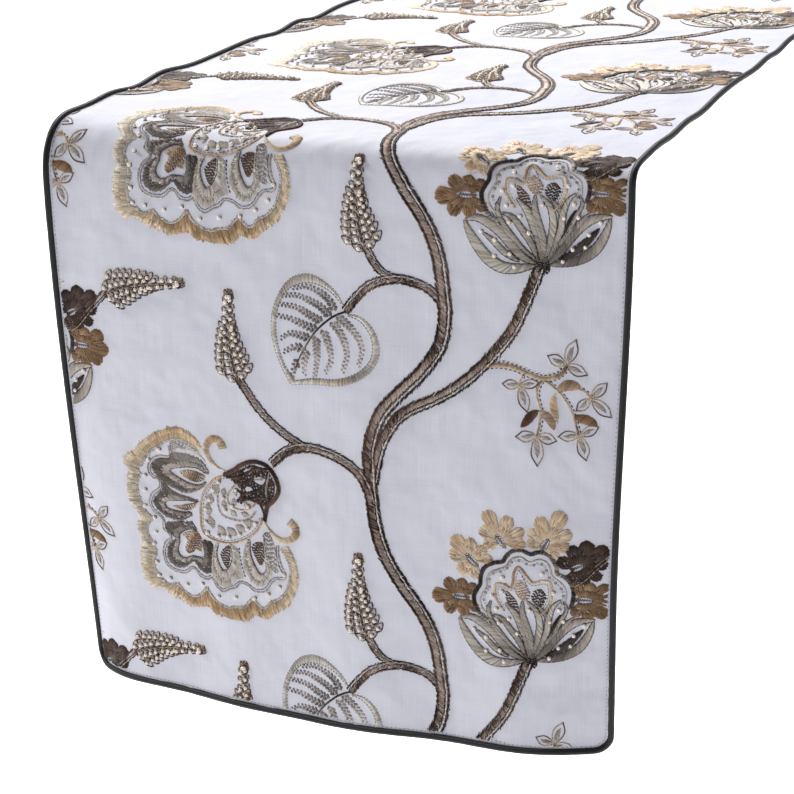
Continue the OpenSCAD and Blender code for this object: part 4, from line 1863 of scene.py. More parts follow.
        needle.pearls += [(-82, 167), (-86.5, 160.5), (-90, 153), (-93, 145.5), (-94, 136),
                          (-93, 128), (-84.5, 127), (-76, 127.5), (-67.5, 131), (-61, 136), (-55, 141),
                          (-79, 156), (-72.5, 151), (-60, 152.5), (-69, 163), (-78, 147)]
        ground = curve([(-76, 172), (-66, 178), (-56, 183), (-45, 180), (-39, 171), (-41, 161),
                        (-48, 154), (-58, 156), (-66, 157), (-67, 165)], closed=True)
        spots = [curve(p, closed=True) for p in (
            ((-62, 165), (-58, 166), (-57, 163), (-60, 161.5)),
            ((-55, 173), (-49, 174.5), (-45, 172), (-51, 169.5)),
            ((-63, 177.5), (-58, 179.5), (-57, 177.5), (-61, 175.5)),
        )]
        for angle in (40, 130):
            needle.fill(ground, angle, (Thread.BARK, umber, Thread.BARK), 1.0, 4.5, holes=spots)
        for points in self.ROPES:
            thick = 1.9 if points is self.ROPES[0] else 1.35
            tones = (Thread.BARK, Thread.BROWN, umber, Thread.BARK, Thread.BROWN, umber)
            needle.satin(curve(points), thick, thick, tones, 0.5, 0.12, 0.65, 1.1, 0.3)
        upright = ((-43, 180), (-45, 172), (-46, 165), (-45, 159))
        sideways = ((-55, 172), (-50, 173), (-46, 175))
        for points in (upright, sideways):
            needle.satin(curve(points), swelling(0.3, 1.2), swelling(0.3, 1.2), (silver, grey), 0.6, 0.1,
                         0.7, 0.8, 0.5)

    def loop(self, needle: Needle, u: float, v: float, degrees: float, size: float = 1.0) -> None:
        """Sews one small shaded loop of the shield.

        Args:
            needle: The needle.
            u: Its place across.
            v: Its place along.
            degrees: The direction that it points in.
            size: Its size.
        """
        way = np.array([math.cos(math.radians(degrees)), math.sin(math.radians(degrees))])
        centre = np.array([u, v])
        line = curve([centre - way * 4.5 * size, centre, centre + way * 4.5 * size])
        tones = (Thread.ASH, Thread.SILVER, Thread.ASH)
        round_off = swelling(0.6, 3.0 * size, 0.5)
        needle.satin(line, round_off, round_off, tones, 0.2, 0.1, 0.6)
        side = np.array([-way[1], way[0]])
        for sign in (-1, 1):
            arc = curve([centre - way * 3.8 * size, centre + side * sign * 3.2 * size,
                         centre + way * 3.8 * size])
            needle.line(arc, [Thread.SLATE, Thread.COCOA], 1.6, 0, 0.6)


@dataclass
class CrownBloom(Motif):
    """The crown flower's ringed dome on blades and sepals."""

    name: str = "crown_blooms"
    slot: str = "silver_thread"
    DOME = ((117, 96), (111, 99), (107, 105), (105.5, 112), (108, 118), (110, 122), (110.5, 128),
            (113, 134), (119, 138), (125.5, 140), (128, 144), (132, 148), (138, 149.5), (144.5, 147.5),
            (150, 149.5), (156, 148.5), (160, 144.5), (162.5, 139), (163, 135.5), (168, 133.5),
            (172, 129.5), (174, 124), (174, 118), (172.5, 111))
    RING = ((118, 99), (112, 103), (109.5, 109), (111, 115), (114, 120), (114, 126), (117, 131.5),
            (123, 135), (127.5, 137), (130, 141.5), (134, 144.5), (139, 145), (144.5, 142.5),
            (150, 145), (156, 143.5), (159, 138), (160, 134), (165, 130.5), (169, 126), (170, 119.5),
            (169, 112))
    DOTS = ((117, 104), (113, 109), (113.5, 115), (116.5, 120), (116.5, 126), (119.5, 131), (125, 133),
            (130, 137), (132.5, 141), (138, 142), (144.5, 139.5), (151, 141.5), (155, 139), (157, 133),
            (162, 129), (166, 125), (167.5, 119), (166, 112))
    POINTS = ((127, 105), (122, 112), (120.5, 119), (121.5, 123.5), (127, 124), (131.5, 122),
              (133, 127), (133.5, 133), (136, 137.5), (139, 136), (143, 131), (147, 127.5),
              (152.5, 129.5), (158, 129), (159.5, 123), (159, 116), (156, 109), (152, 105))
    BLADES = (
        (((118, 111), (116, 104), (119, 96), (126, 87), (134, 79), (143, 73)), 1.5, "grey"),
        (((119, 101), (126, 99), (132, 92), (138, 84), (143, 73)), 1.8, "silver"),
        (((128, 111), (135, 104), (139, 96), (143, 86), (145, 73)), 2.1, "pale"),
        (((140, 114), (140, 105), (143, 95), (146, 85), (146, 73)), 2.0, "silver"),
        (((143, 114), (149, 108), (152, 99), (151, 88), (147, 73)), 1.9, "pale"),
        (((150, 112), (157, 104), (157, 95), (154, 85), (148, 73)), 1.8, "grey"),
        (((166, 117), (161, 112), (158, 103), (157, 94), (154, 84), (149, 73)), 1.7, "pale"),
        (((168, 116), (170, 110), (166, 102), (162, 93), (156, 84), (150, 74)), 1.3, "silver"),
        (((166, 106), (163, 100), (160, 92), (155, 83), (150, 75)), 1.5, "dark"),
        (((175, 105), (169, 99), (163, 91), (157, 82), (150, 73)), 1.6, "taupe"),
        (((112, 101), (116, 95), (124, 88), (133, 80), (142, 73)), 0.9, "pale"),
    )
    SEPALS = (
        (((95, 95), (98, 88), (104, 79), (111, 71.5), (120, 67), (130, 67), (142, 70)), 2.3, "cream"),
        (((95, 95), (103, 97), (112, 93.5), (120, 88), (127, 80), (134, 74), (142, 71)), 2.0, "grey"),
        (((107, 88), (114, 83), (122, 76), (131, 71.5)), 1.3, "silver"),
        (((189, 104), (178, 102), (170, 97), (163, 89), (157, 80), (150, 72)), 1.9, "taupe"),
        (((188, 103), (185, 93), (179, 83), (170, 76.5), (160, 73), (150, 71)), 2.0, "taupe"),
        (((181, 96), (174, 88), (166, 81), (156, 75)), 1.5, "dark"),
    )
    PEARLS = (
        (126, 129), (119, 115), (153, 135), (161, 122), (122, 106), (131, 100), (124, 96), (137, 90),
        (106, 89), (115, 84), (125, 76), (128, 68), (182, 100), (175, 92), (165, 82), (173, 84),
        (159, 74), (145, 108), (165, 110), (168, 102), (159, 101), (115, 74), (126, 119),
    )

    def draw(self, needle: Needle) -> None:
        """Sews the bloom without its florets.

        Args:
            needle: The needle that takes its stitches.
        """
        silver, grey, slate, umber = Thread.SILVER, Thread.GREY, Thread.SLATE, Thread.UMBER
        tones = {
            "pale": (silver, Thread.CREAM, silver, grey), "silver": (Thread.ASH, silver, silver, grey),
            "grey": (Thread.ASH, silver, grey), "dark": (umber, Thread.PEAT, umber),
            "taupe": (silver, Thread.ASH, slate, grey), "cream": (silver, Thread.CREAM, silver, grey),
        }
        for points, width, tone in (*self.BLADES, *self.SEPALS):
            line = curve(points)
            width *= 1.7 if (points, width, tone) in self.SEPALS else 1.3
            swell = swelling(0.5, width, 0.65)
            needle.satin(line, swell, swell, tones[tone], 1.0, 0.12, 0.78, 0.75, 0.15)
            # Dark thread lines along both edges of each blade and sepal: painted shade between them.
            for sign, thread in ((-1, Thread.BARK), (1, slate)):
                needle.line(rim(line, swell, sign), [thread, Thread.PEAT], 3.2, 0.1, 0.6, 0.55, 0.3)
        dome = curve(self.DOME)
        shades = (silver, slate, umber, umber, Thread.PEAT, umber, umber, slate, umber, slate, grey,
                  silver, slate, umber, slate)
        needle.satin(dome, 1.75, 1.75, shades, 0.4, 0.1, 0.6, 0.95, 0.25)
        ring_line = offset(curve(self.RING), -0.6)
        needle.satin(ring_line, 1.0, 1.0, (silver, Thread.ASH, silver), 0.4, 0.1, 0.7, 0.7, 0.1)
        for k, knot in enumerate(spaced(curve(self.DOTS), 2.7)[0]):
            needle.ring(knot, 0.95, (umber, slate) if k % 2 else (silver, Thread.CREAM), 5)
        gold = curve(self.POINTS)
        straw = Thread.STRAW
        needle.satin(gold, 1.45, 1.45, (Thread.GOLD, straw, Thread.GOLD, Thread.OLIVE, Thread.GOLD,
                     straw, straw, Thread.GOLD), 0.4, 0.12, 0.64, 0.8, 0.2)
        needle.line(offset(gold, -2.2), [silver, slate], 2.2, 0.1, 0.5)
        shapes = (
            (((128, 120), (133, 117), (137, 111), (137, 104), (133, 106), (129, 112)),
             (Thread.BARK, Thread.COCOA)),
            (((138, 129), (134, 122), (137, 115), (142, 114), (145, 119), (142, 125)),
             (Thread.TAUPE, Thread.LIGHT_TAN)),
            (((147, 121), (152, 124), (156, 119), (153, 111), (149, 111), (146, 116)),
             (Thread.DARK, Thread.BARK)),
        )
        for points, colours in shapes:
            needle.fill(curve(points, closed=True), 70, colours, longest=2.6, lift=0.15)
        needle.line(curve([(139, 132), (142, 126), (145, 120)]), [slate], 2, 0, 0.7, 0.5, 0.3)
        foot = curve([(141, 78), (148, 78), (151, 72), (150, 66), (143, 65), (140, 70)], closed=True)
        needle.fill(foot, 20, (Thread.DARK, umber, Thread.BARK), longest=3, lift=0.4)
        needle.pearls += list(self.PEARLS)


def lobed(centre: np.ndarray, lobes: Sequence[Sequence[float]], steps: int) -> np.ndarray:
    """A closed outline that wraps round several circles.

    Args:
        centre: A point inside it.
        lobes: The circles: places across and along, and radii.
        steps: How many points the outline has.

    Returns:
        The points, counter-clockwise.
    """
    angle = np.linspace(0, math.tau, steps)
    way = np.stack([np.cos(angle), np.sin(angle)], -1)
    reach = np.full(steps, 2.5)
    for u, v, radius in lobes:
        to = (np.array([u, v], float) - centre) * 1.03
        radius *= 0.87
        along = way @ to
        room = radius**2 - (to @ to - along**2)
        reach = np.maximum(reach, np.where(room > 0, along + np.sqrt(np.clip(room, 0, None)), 0))
    return centre + way * reach[:, None]


@dataclass
class CrownFlorets(Motif):
    """The lobed florets that stand round the crown flower's dome."""

    name: str = "crown_florets"
    slot: str = "tan_thread"
    FLORETS = (
        ((96, 110.5), 0, 6.5, ((80.5, 109, 6.5), (88, 118.5, 5.5), (97, 120, 5), (105, 118, 4.5),
         (88, 101.5, 5.5), (98, 100.5, 5), (106, 104, 4), (92, 110, 7)), "OLIVE"),
        ((104, 138), -42, 6.0, ((93.5, 149, 6.5), (103, 149.5, 5), (92.5, 140, 6), (98, 131, 6),
         (106, 129, 5), (111, 146, 4.5), (115.5, 140, 4), (99, 141, 6)), "LIGHT_TAN"),
        ((124, 154), -52, 5.5, ((115.5, 169.5, 6), (128, 167.5, 5.5), (136.5, 161.5, 4.5),
         (113, 159, 5.5), (116, 151, 5), (136.5, 153.5, 5), (123, 159, 6)), "LIGHT_TAN"),
        ((154, 155), 60, 5.0, ((163, 174, 6.5), (151, 169.5, 5.5), (168, 163, 5), (145.5, 162, 4.5),
         (166, 155, 5), (145.5, 155, 4.5), (160, 149, 4.5), (157, 162, 6)), "LIGHT_TAN"),
        ((176, 141), 25, 5.0, ((192, 153.5, 6), (182, 155.5, 6), (173, 152, 5.5), (167, 144, 5.5),
         (192, 145, 5), (189, 136, 4.5), (181, 133, 5), (172, 133, 4), (183, 146, 6)), "DARK"),
        ((181, 118), 0, 6.5, ((195, 126, 6), (185, 127, 5), (176.5, 127, 4.5), (198, 117, 6),
         (184, 108.5, 5.5), (176, 109, 4.5), (193, 110, 6), (189, 118, 6)), "OLIVE"),
    )

    def draw(self, needle: Needle) -> None:
        """Sews the ring of florets.

        Args:
            needle: The needle that takes its stitches.
        """
        for centre, degrees, reach, lobes, tone in self.FLORETS:
            middle = np.array(centre, float)
            outer = lobed(middle, lobes, 200)
            at = np.linspace(0, math.tau, 200)
            c, s = math.cos(math.radians(degrees)), math.sin(math.radians(degrees))
            room = 1 / np.sqrt((np.cos(at - math.radians(degrees)) / reach) ** 2
                               + (np.sin(at - math.radians(degrees)) / 2.1) ** 2)
            window = middle + np.stack([np.cos(at), np.sin(at)], -1) * room[:, None]
            thread = Thread[tone]
            light = {"LIGHT_TAN": Thread.STRAW, "DARK": Thread.BARK, "OLIVE": Thread.COCOA}[tone]
            tones = (thread, light, thread, light, thread, light, thread, light, thread)
            needle.bridge(window, outer, tones, jag=0.35, pitch=0.86, rows=2, height=0.8)
            needle.line(window, [Thread.SLATE], 1.8, 0.1, 0.5, 0.5, 0.3)
            way = np.array([c, s]) * reach * 0.8
            needle.fern(curve([middle - way, middle, middle + way]), 1.5, (Thread.PEAT, Thread.SLATE), 1.5)


@dataclass
class BudSpike(Motif):
    """A spike of pointed, looped buds with pearls in them."""

    name: str = "spikes"
    slot: str = "tan_thread"
    places: Sequence[tuple[float, float, float]] = ((-64, 240, 5), (29, 69, 6), (203, 157, -77))
    LENGTH = 60.0
    LEVELS = 10

    def draw(self, needle: Needle) -> None:
        """Sews the spike upwards from its foot.

        Args:
            needle: The needle that takes its stitches.
        """
        stalk = curve([(0, 0), (-2.5, 16), (-2, 34), (0.5, self.LENGTH - 4)])
        needle.satin(stalk, 0.9, 0.9, (Thread.TAUPE, Thread.BROWN, Thread.MOCHA, Thread.BARK), 1.0, 0.1,
                     0.8, 0.8, 0.1)
        needle.line(offset(stalk, -1.1), [Thread.UMBER, Thread.BARK], 2.4, 0.1, 0.9)
        for level in range(self.LEVELS):
            share = level / (self.LEVELS - 1)
            foot = stalk[int((0.02 + 0.93 * share) * (len(stalk) - 1))]
            for side in (-1, 1):
                reach = (17.5 if side < 0 else 15.5) * (1 - 0.6 * share**1.3)
                lean = math.radians((62 if side < 0 else 52) * (1 - 0.55 * share))
                way = np.array([side * math.sin(lean), math.cos(lean)])
                root = foot + way * 0.8 + (0, 1.6 if side > 0 else 0)
                self.bud(needle, root, way, 9.5 - 1.5 * share)
                if reach > 10:
                    turned = way + (0, 0.3)
                    turned /= np.linalg.norm(turned)
                    self.bud(needle, root + way * (reach - 8.5), turned, 9.5)
        for lean in (-0.35, 0.3, 0.0):
            way = np.array([math.sin(lean), math.cos(lean)])
            self.bud(needle, stalk[-1] - way * 1.0, way, 9.0)

    def bud(self, needle: Needle, root: np.ndarray, way: np.ndarray, length: float) -> None:
        """Sews one pointed bud with its pearl.

        Args:
            needle: The needle.
            root: Its foot.
            way: The direction that it points in.
            length: Its length.
        """
        side = np.array([-way[1], way[0]])
        for sign, tones in ((-1, (Thread.BARK, Thread.BROWN)), (1, (Thread.STRAW, Thread.COCOA))):
            edge = curve([root, root + (way * 0.42 + side * sign * 0.3) * length, root + way * length])
            needle.line(edge, tones, 3.3, 0.0, 1.05, 0.9, 0.15)
        needle.pearls.append(tuple(root + way * length * 0.42))

@dataclass
class Trefoils(Motif):
    """The side twig with its three-lobed flowers and small leaves."""

    name: str = "trefoils"
    slot: str = "cream_thread"
    TWIGS = (
        (((110, 270), (119, 272), (130, 271), (139, 268), (148, 266), (156, 267.5), (161, 271),
          (164, 276)), 1.6),
        (((147, 266), (153, 263), (160, 257.5), (166, 250), (170, 242), (173, 232)), 1.15),
        (((148, 265), (145, 259), (145.5, 252), (148, 244), (147.5, 236), (146, 228)), 1.15),
        (((170, 262), (175, 260.5), (181, 256)), 1.1),
        (((136, 268), (134, 264), (133, 260)), 0.9),
    )
    FLOWERS = (
        ((163, 276), ((169, 293, 8.5), (151, 281, 8), (177, 271, 8))),
        ((180, 256), ((190, 267, 7.5), (194, 245, 8.5), (171, 247, 7))),
        ((174, 231), ((186, 238, 7), (160, 229, 7.5), (179, 215, 8.5))),
        ((146, 228), ((132, 226, 8), (159, 226, 8), (147, 208, 9))),
        ((133.5, 260), ((122, 260, 7), (146, 263, 6.5), (139, 243, 8))),
    )
    LEAVES = (
        (((158, 261), (165, 263), (173, 262)), 4.2, "LIGHT_TAN", "TAUPE"),
        (((157, 257), (156, 248), (159, 238)), 3.0, "STRAW", "LIGHT_TAN"),
        (((147, 245), (141, 240), (135, 233)), 3.5, "COCOA", "BARK"),
        (((148, 245), (153, 241), (157, 233)), 3.5, "LIGHT_TAN", "MOCHA"),
        (((170, 244), (177, 242), (185, 239)), 3.8, "COCOA", "OLIVE"),
    )

    def draw(self, needle: Needle) -> None:
        """Sews one twig.

        Args:
            needle: The needle that takes its stitches.
        """
        for points, width in self.TWIGS:
            twig = curve(points)
            tones = (Thread.TAUPE, Thread.GOLD, Thread.STRAW, Thread.GOLD, Thread.BROWN)
            needle.satin(twig, width, width, tones, 0.6, 0.12, 0.7, 0.75, 0.1)
            needle.line(offset(twig, width + 0.5), [Thread.BROWN, Thread.UMBER], 2.6, 0.2, 0.8)
            if width > 1.4:
                needle.line(offset(twig, width + 1.4), [Thread.COUCHING], 2.6, 0.3, 0.7)
                needle.line(offset(twig, -width - 0.4), [Thread.UMBER], 2.6, 0.4, 0.6)
        for points, width, one, two in self.LEAVES:
            swell = swelling(0.4, width, 0.7)
            needle.satin(curve(points), swell, swell, (Thread[one], Thread[two], Thread[one]), 0.5, 0.1,
                         0.64, 0.75, 0.1)
        for heart, tips in self.FLOWERS:
            for u, v, width in tips:
                self.lobe(needle, np.array(heart, float), np.array([u, v], float), width)

    def lobe(self, needle: Needle, root: np.ndarray, tip: np.ndarray, width: float) -> None:
        """Sews one outlined petal with a small satin leaf in it.

        Args:
            needle: The needle.
            root: Where it starts.
            tip: Its far end.
            width: Its width.
        """
        way = tip - root
        side = np.array([-way[1], way[0]]) / np.linalg.norm(way)
        for sign in (-1, 1):
            edge = curve([root, root + way * 0.3 + side * sign * width * 0.36,
                          root + way * 0.65 + side * sign * width * 0.42, tip])
            tones = (Thread.STRAW, Thread.COCOA, Thread.BARK) if sign < 0 else (Thread.STRAW, Thread.TAUPE)
            needle.satin(edge, 0.6, 0.6, tones, 0.8, 0.08, 0.66, 0.65, 0.1)
        leaf = curve([root + way * 0.05, root + way * 0.4, root + way * 0.72])
        swell = swelling(0.3, width * 0.24)
        needle.satin(leaf, swell, swell, (Thread.SILVER, Thread.ASH, Thread.GREY), 0.8, 0.1, 0.7, 0.6, 0.1)


@dataclass(frozen=True)
class StitchForm:
    """The corners and faces of one closed, three-sided stitch.

    Attributes:
        along: Where each corner lies along the stitch.
        across: Where it lies across, from -1 to 1.
        level: Which height it has.
        faces: The faces, with -1 for no fourth corner.
        fullness: How much wider it is in its middle than an even thread.
    """

    along: tuple[str, ...]
    across: tuple[int, ...]
    level: tuple[str, ...]
    faces: tuple[tuple[int, int, int, int], ...]
    fullness: float = 1.0


SPINDLE = StitchForm(
    fullness=1.4,
    along=("start", "middle", "middle", "middle", "end"),
    across=(0, 1, 0, -1, 0),
    level=("sunk", "base", "crest", "base", "sunk"),
    faces=((0, 2, 1, -1), (0, 3, 2, -1), (0, 1, 3, -1), (4, 1, 2, -1), (4, 2, 3, -1), (4, 3, 1, -1)),
)
STRAND = StitchForm(
    along=("start", "near", "near", "near", "far", "far", "far", "end"),
    across=(0, 1, 0, -1, 1, 0, -1, 0),
    level=("sunk", "base", "crest", "base", "base", "crest", "base", "sunk"),
    faces=(
        (0, 2, 1, -1), (0, 3, 2, -1), (0, 1, 3, -1),
        (1, 2, 5, 4), (2, 3, 6, 5), (3, 1, 4, 6),
        (7, 4, 5, -1), (7, 5, 6, -1), (7, 6, 4, -1),
    ),
)


@dataclass
class Embroidery:
    """Sews the motifs all along the runner.

    Attributes:
        drape: The runner's drape.
        repeat: Length of one repeat.
        column: From one column of the half-drop pattern to the next.
        edge: From the outer edge to the last stitch.
        short: Stitches shorter than this are plain spindles.
        least: Stitches shorter than this are left out.
        past: How far a stitch may run past the last stitch line at the edge.
        tuck: How far from its ends a long stitch reaches its full width.
        tuck_share: The most that this takes of its length.
        sunk: How far its ends lie below the face of the cloth.
        bury: How far the rest of its underside lies below it.
        pearls: Places of the pearls of the motifs sewn so far.
    """

    drape: Drape
    repeat: float = REPEAT
    column: float = 366.0
    edge: float = 6.2
    short: float = 3.4
    least: float = 0.3
    past: float = 0.6
    tuck: float = 0.9
    tuck_share: float = 0.22
    sunk: float = 0.2
    bury: float = 0.12
    pearls: list[np.ndarray] = field(default_factory=list)

    def along_runner(self, motif: Motif) -> np.ndarray:
        """All the motif's stitches on the flat cloth, and keeps its pearls.

        Args:
            motif: The motif.

        Returns:
            The stitches.
        """
        needle = Needle(np.random.default_rng(SEED + len(motif.name)))
        motif.draw(needle)
        single = needle.stitches
        beads = np.array(needle.pearls).reshape(-1, 2)
        rng = np.random.default_rng(SEED + 7)
        # A wide cocoa stitch under each bead: the thread that it is sewn on with, and painted shadow round
        # the pearl.
        seat_and_shadow_needle = Needle(rng)
        reach = np.array([1.8, 0.0])
        shades = seat_and_shadow_needle.shade([Thread.COCOA], beads[:, 0] * 0)
        seat_and_shadow_needle.sew(beads - reach, beads + reach, shades, 3.1, 0.4)
        seat_and_shadow_stitches = seat_and_shadow_needle.stitches
        groups = []
        copies = [
            (across + column * self.column, along + (k + column / 2) * self.repeat, degrees)
            for k in range(-2, math.ceil(2 * self.drape.half_l / self.repeat) + 1)
            for column in (-1, 0)
            for across, along, degrees in motif.places
        ]
        for across, along, degrees in copies:
            shift = (across, along)
            copy = moved(single, shift, degrees)
            copy[:, COLOUR] *= 1 + rng.normal(0, 0.05, (len(copy), 1))
            groups.append(copy)
            ends = np.concatenate([beads, beads, np.zeros((len(beads), 6))], axis=1)
            self.pearls.append(moved(ends, shift, degrees)[:, :2])
            groups.append(moved(seat_and_shadow_stitches, shift, degrees))
        return self.trimmed(np.concatenate(groups))

    def trimmed(self, stitches: np.ndarray) -> np.ndarray:
        """Leaves out what would run over the edges of the cloth.

        Args:
            stitches: The stitches.

        Returns:
            Those that stay.
        """
        limit_u = self.drape.half_w - self.edge
        low, high = self.edge, 2 * self.drape.half_l - self.edge
        a, b = stitches[:, 0:2], stitches[:, 2:4]
        middle = (a + b) / 2
        keep = (np.abs(middle[:, 0]) < limit_u) & (middle[:, 1] > low) & (middle[:, 1] < high)
        kept = stitches[keep]
        for k in (0, 2):
            kept[:, k] = np.clip(kept[:, k], -limit_u - self.past, limit_u + self.past)
            kept[:, k + 1] = np.clip(kept[:, k + 1], low - self.past, high + self.past)
        length = np.linalg.norm(kept[:, 0:2] - kept[:, 2:4], axis=1)
        return kept[length > self.least]

    def mesh(self, name: str, stitches: np.ndarray) -> bpy.types.Object:
        """Turns stitches into closed, pointed, three-sided strands.

        Args:
            name: The piece's name.
            stitches: Its stitches.

        Returns:
            The piece.
        """
        short = np.linalg.norm(stitches[:, 0:2] - stitches[:, 2:4], axis=1) < self.short
        groups = [self.strands(stitches[short], SPINDLE), self.strands(stitches[~short], STRAND)]
        points, faces, uvs, colours = (list(part) for part in zip(*groups))
        faces[1] = np.where(faces[1] < 0, -1, faces[1] + len(points[0]))
        piece = mesh_from(name, np.concatenate(points), np.concatenate(faces), np.concatenate(uvs), "Strand")
        layer = piece.data.color_attributes.new("Thread", "FLOAT_COLOR", "POINT")
        layer.data.foreach_set("color", np.concatenate(colours).astype(np.float32).ravel())
        return piece

    def strands(self, stitches: np.ndarray, form: StitchForm) -> tuple[np.ndarray, ...]:
        """Shapes a group of stitches.

        Args:
            stitches: The stitches.
            form: The shape that they all take.

        Returns:
            Corners, faces, map and colours.
        """
        a, b = stitches[:, 0:2], stitches[:, 2:4]
        n, corners = len(a), len(form.across)
        way = b - a
        length = np.linalg.norm(way, axis=1)[:, None]
        way = way / length
        side = left_of(way) * stitches[:, [WIDTH]] / 2 * form.fullness
        tuck = np.minimum(self.tuck, length * self.tuck_share)
        run = {"start": 0 * length, "near": tuck, "middle": length / 2, "far": length - tuck, "end": length}
        along = np.concatenate([run[place] for place in form.along], axis=1)
        flat = a[:, None] + way[:, None] * along[..., None]
        flat = flat + side[:, None] * np.array(form.across)[None, :, None]
        base = self.drape.face_top - self.bury + stitches[:, LIFT]
        levels = {
            "sunk": np.full(n, self.drape.face_top - self.sunk),
            "base": base,
            "crest": base + self.bury + stitches[:, HEIGHT],
        }
        height = np.stack([levels[level] for level in form.level], axis=1)
        points = self.drape.place(flat[..., 0].ravel(), flat[..., 1].ravel(), height.ravel())
        one = np.array(form.faces)
        faces = np.where(one < 0, -1, one + (np.arange(n) * corners)[:, None, None]).reshape(-1, 4)
        shift = (np.arange(n) * 0.37 % 1 * 5)[:, None]
        across = np.tile((np.array(form.across) + 1) / 2, (n, 1))
        uvs = np.stack([along + shift, across], -1).reshape(-1, 2)
        colours = np.ones((n, corners, 4))
        colours[..., :3] = stitches[:, None, COLOUR]
        return points, faces, uvs, colours.reshape(-1, 4)

    def build(self, motifs: Sequence[Motif], finish: ThreadFinish) -> dict[End, list]:
        """Sews every motif, as a front and a back piece each.

        Args:
            motifs: The motifs.
            finish: The thread's finish.

        Returns:
            The pieces of each half.
        """
        material = finish.material()
        made = {end: [] for end in End}
        for motif in motifs:
            stitches = self.along_runner(motif)
            in_front = (stitches[:, 1] + stitches[:, 3]) / 2 < self.drape.half_l
            for end, chosen in ((End.FRONT, in_front), (End.BACK, ~in_front)):
                piece = self.mesh(f"{end.value}_{motif.name}_embroidery", stitches[chosen])
                piece.data.materials.append(material)
                nodes = [f"{end.value}_{motif.name}"]
                if end is End.FRONT:
                    nodes.append(f"span_{motif.name}")
                known = [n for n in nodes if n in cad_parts]
                settle(piece, known)
                made[end].append(piece)
        return made


@dataclass
class SeamStitching:
    """The machine stitches just inside the piping.

    Attributes:
        sewing: The runner's embroidery, which shapes the stitches.
        inset: From the outer edge to the seam.
    """

    sewing: Embroidery
    inset: float = 5.6

    def build(self, finish: ThreadFinish) -> dict[End, bpy.types.Object]:
        """Sews the seam of both halves.

        Args:
            finish: The thread's finish.

        Returns:
            The front and back pieces.
        """
        drape = self.sewing.drape
        material = finish.material()
        made = {}
        for end in End:
            needle = Needle(np.random.default_rng(SEED))
            half = drape.half_w - self.inset
            r = drape.corner_r
            angle = np.linspace(0, math.pi / 2, 8)
            corner = np.stack([half - r + r * np.cos(angle), self.inset + r - r * np.sin(angle)], -1)
            right = np.concatenate([[[half, drape.half_l]], corner, [[0, self.inset]]])
            left = right[::-1] * (-1, 1)
            path = np.concatenate([right, left[1:]])
            if end is End.BACK:
                path = path * (1, -1) + (0, 2 * drape.half_l)
            needle.line(path, [Thread.CHARCOAL], 2.2, 0.9, 0.38, 0.25, 0.0, 0.0)
            piece = self.sewing.mesh(f"{end.value}_seam_thread", needle.stitches)
            piece.data.materials.append(material)
            nodes = [f"{end.value}_seam_stitches"]
            if end is End.FRONT:
                nodes.append("span_seam_stitches")
            settle(piece, nodes)
            made[end] = piece
        return made


@dataclass
class PearlBeads:
    """The small pearls sewn on the embroidery.

    Attributes:
        drape: The runner's drape.
        radius: Radius of a pearl.
        seat: Height of the stitches that a pearl sits on.
        inset: From the outer edge to the last pearl.
        around: Corners on each ring of a pearl.
        rings: Steps from its top to its bottom.
    """

    drape: Drape
    radius: float = 1.35
    seat: float = 0.35
    inset: float = 9.0
    around: int = 8
    rings: int = 5

    def bead(self) -> tuple[np.ndarray, np.ndarray]:
        """Models one pearl.

        Returns:
            Its corners for a radius of 1, and its faces.
        """
        polar = math.pi * np.arange(1, self.rings) / self.rings
        turn = 2 * math.pi * np.arange(self.around) / self.around
        ring = np.stack([np.cos(turn), np.sin(turn)], -1)
        middle = [np.column_stack([ring * math.sin(p), np.full(self.around, math.cos(p))]) for p in polar]
        points = np.concatenate([[[0, 0, 1]], *middle, [[0, 0, -1]]])
        last = 1 + (self.rings - 2) * self.around
        faces = []
        for k in range(self.around):
            after = (k + 1) % self.around
            faces.append((0, 1 + k, 1 + after, -1))
            for a in range(1, last, self.around):
                faces.append((a + k, a + self.around + k, a + self.around + after, a + after))
            faces.append((last + k, len(points) - 1, last + after, -1))
        return points, np.array(faces)

    def build(self, places: np.ndarray) -> dict[End, bpy.types.Object]:
        """Sews all the pearls.

        Args:
            places: Their places on the flat cloth.

        Returns:
            The front and back pieces.
        """
        drape = self.drape
        material = PearlFinish("pearl_bead", (246, 240, 230), (218, 204, 186)).material()
        inside = np.abs(places[:, 0]) < drape.half_w - self.inset
        inside &= (places[:, 1] > self.inset) & (places[:, 1] < 2 * drape.half_l - self.inset)
        places = places[inside]
        unit, faces = self.bead()
        made = {}
        for end in End:
            front = places[:, 1] < drape.half_l
            mine = places[front if end is End.FRONT else ~front]
            rng = np.random.default_rng(SEED)
            size = self.radius * rng.uniform(0.92, 1.08, len(mine))
            centre = drape.place(mine[:, 0], mine[:, 1], drape.face_top + self.seat + size * 0.9)
            points = centre[:, None] + unit * size[:, None, None] * MM
            shifts = (np.arange(len(mine)) * len(unit))[:, None, None]
            all_faces = np.where(faces < 0, -1, faces + shifts).reshape(-1, 4)
            piece = mesh_from(f"{end.value}_pearl_beads", points.reshape(-1, 3), all_faces, None, "")
            piece.data.materials.append(material)
            nodes = [f"{end.value}_pearls"]
            if end is End.FRONT:
                nodes.append("span_pearls")
            settle(piece, nodes)
            made[end] = piece
        return made


# ---------------------------------------------------------------------------------------------------
# Studio
# ---------------------------------------------------------------------------------------------------


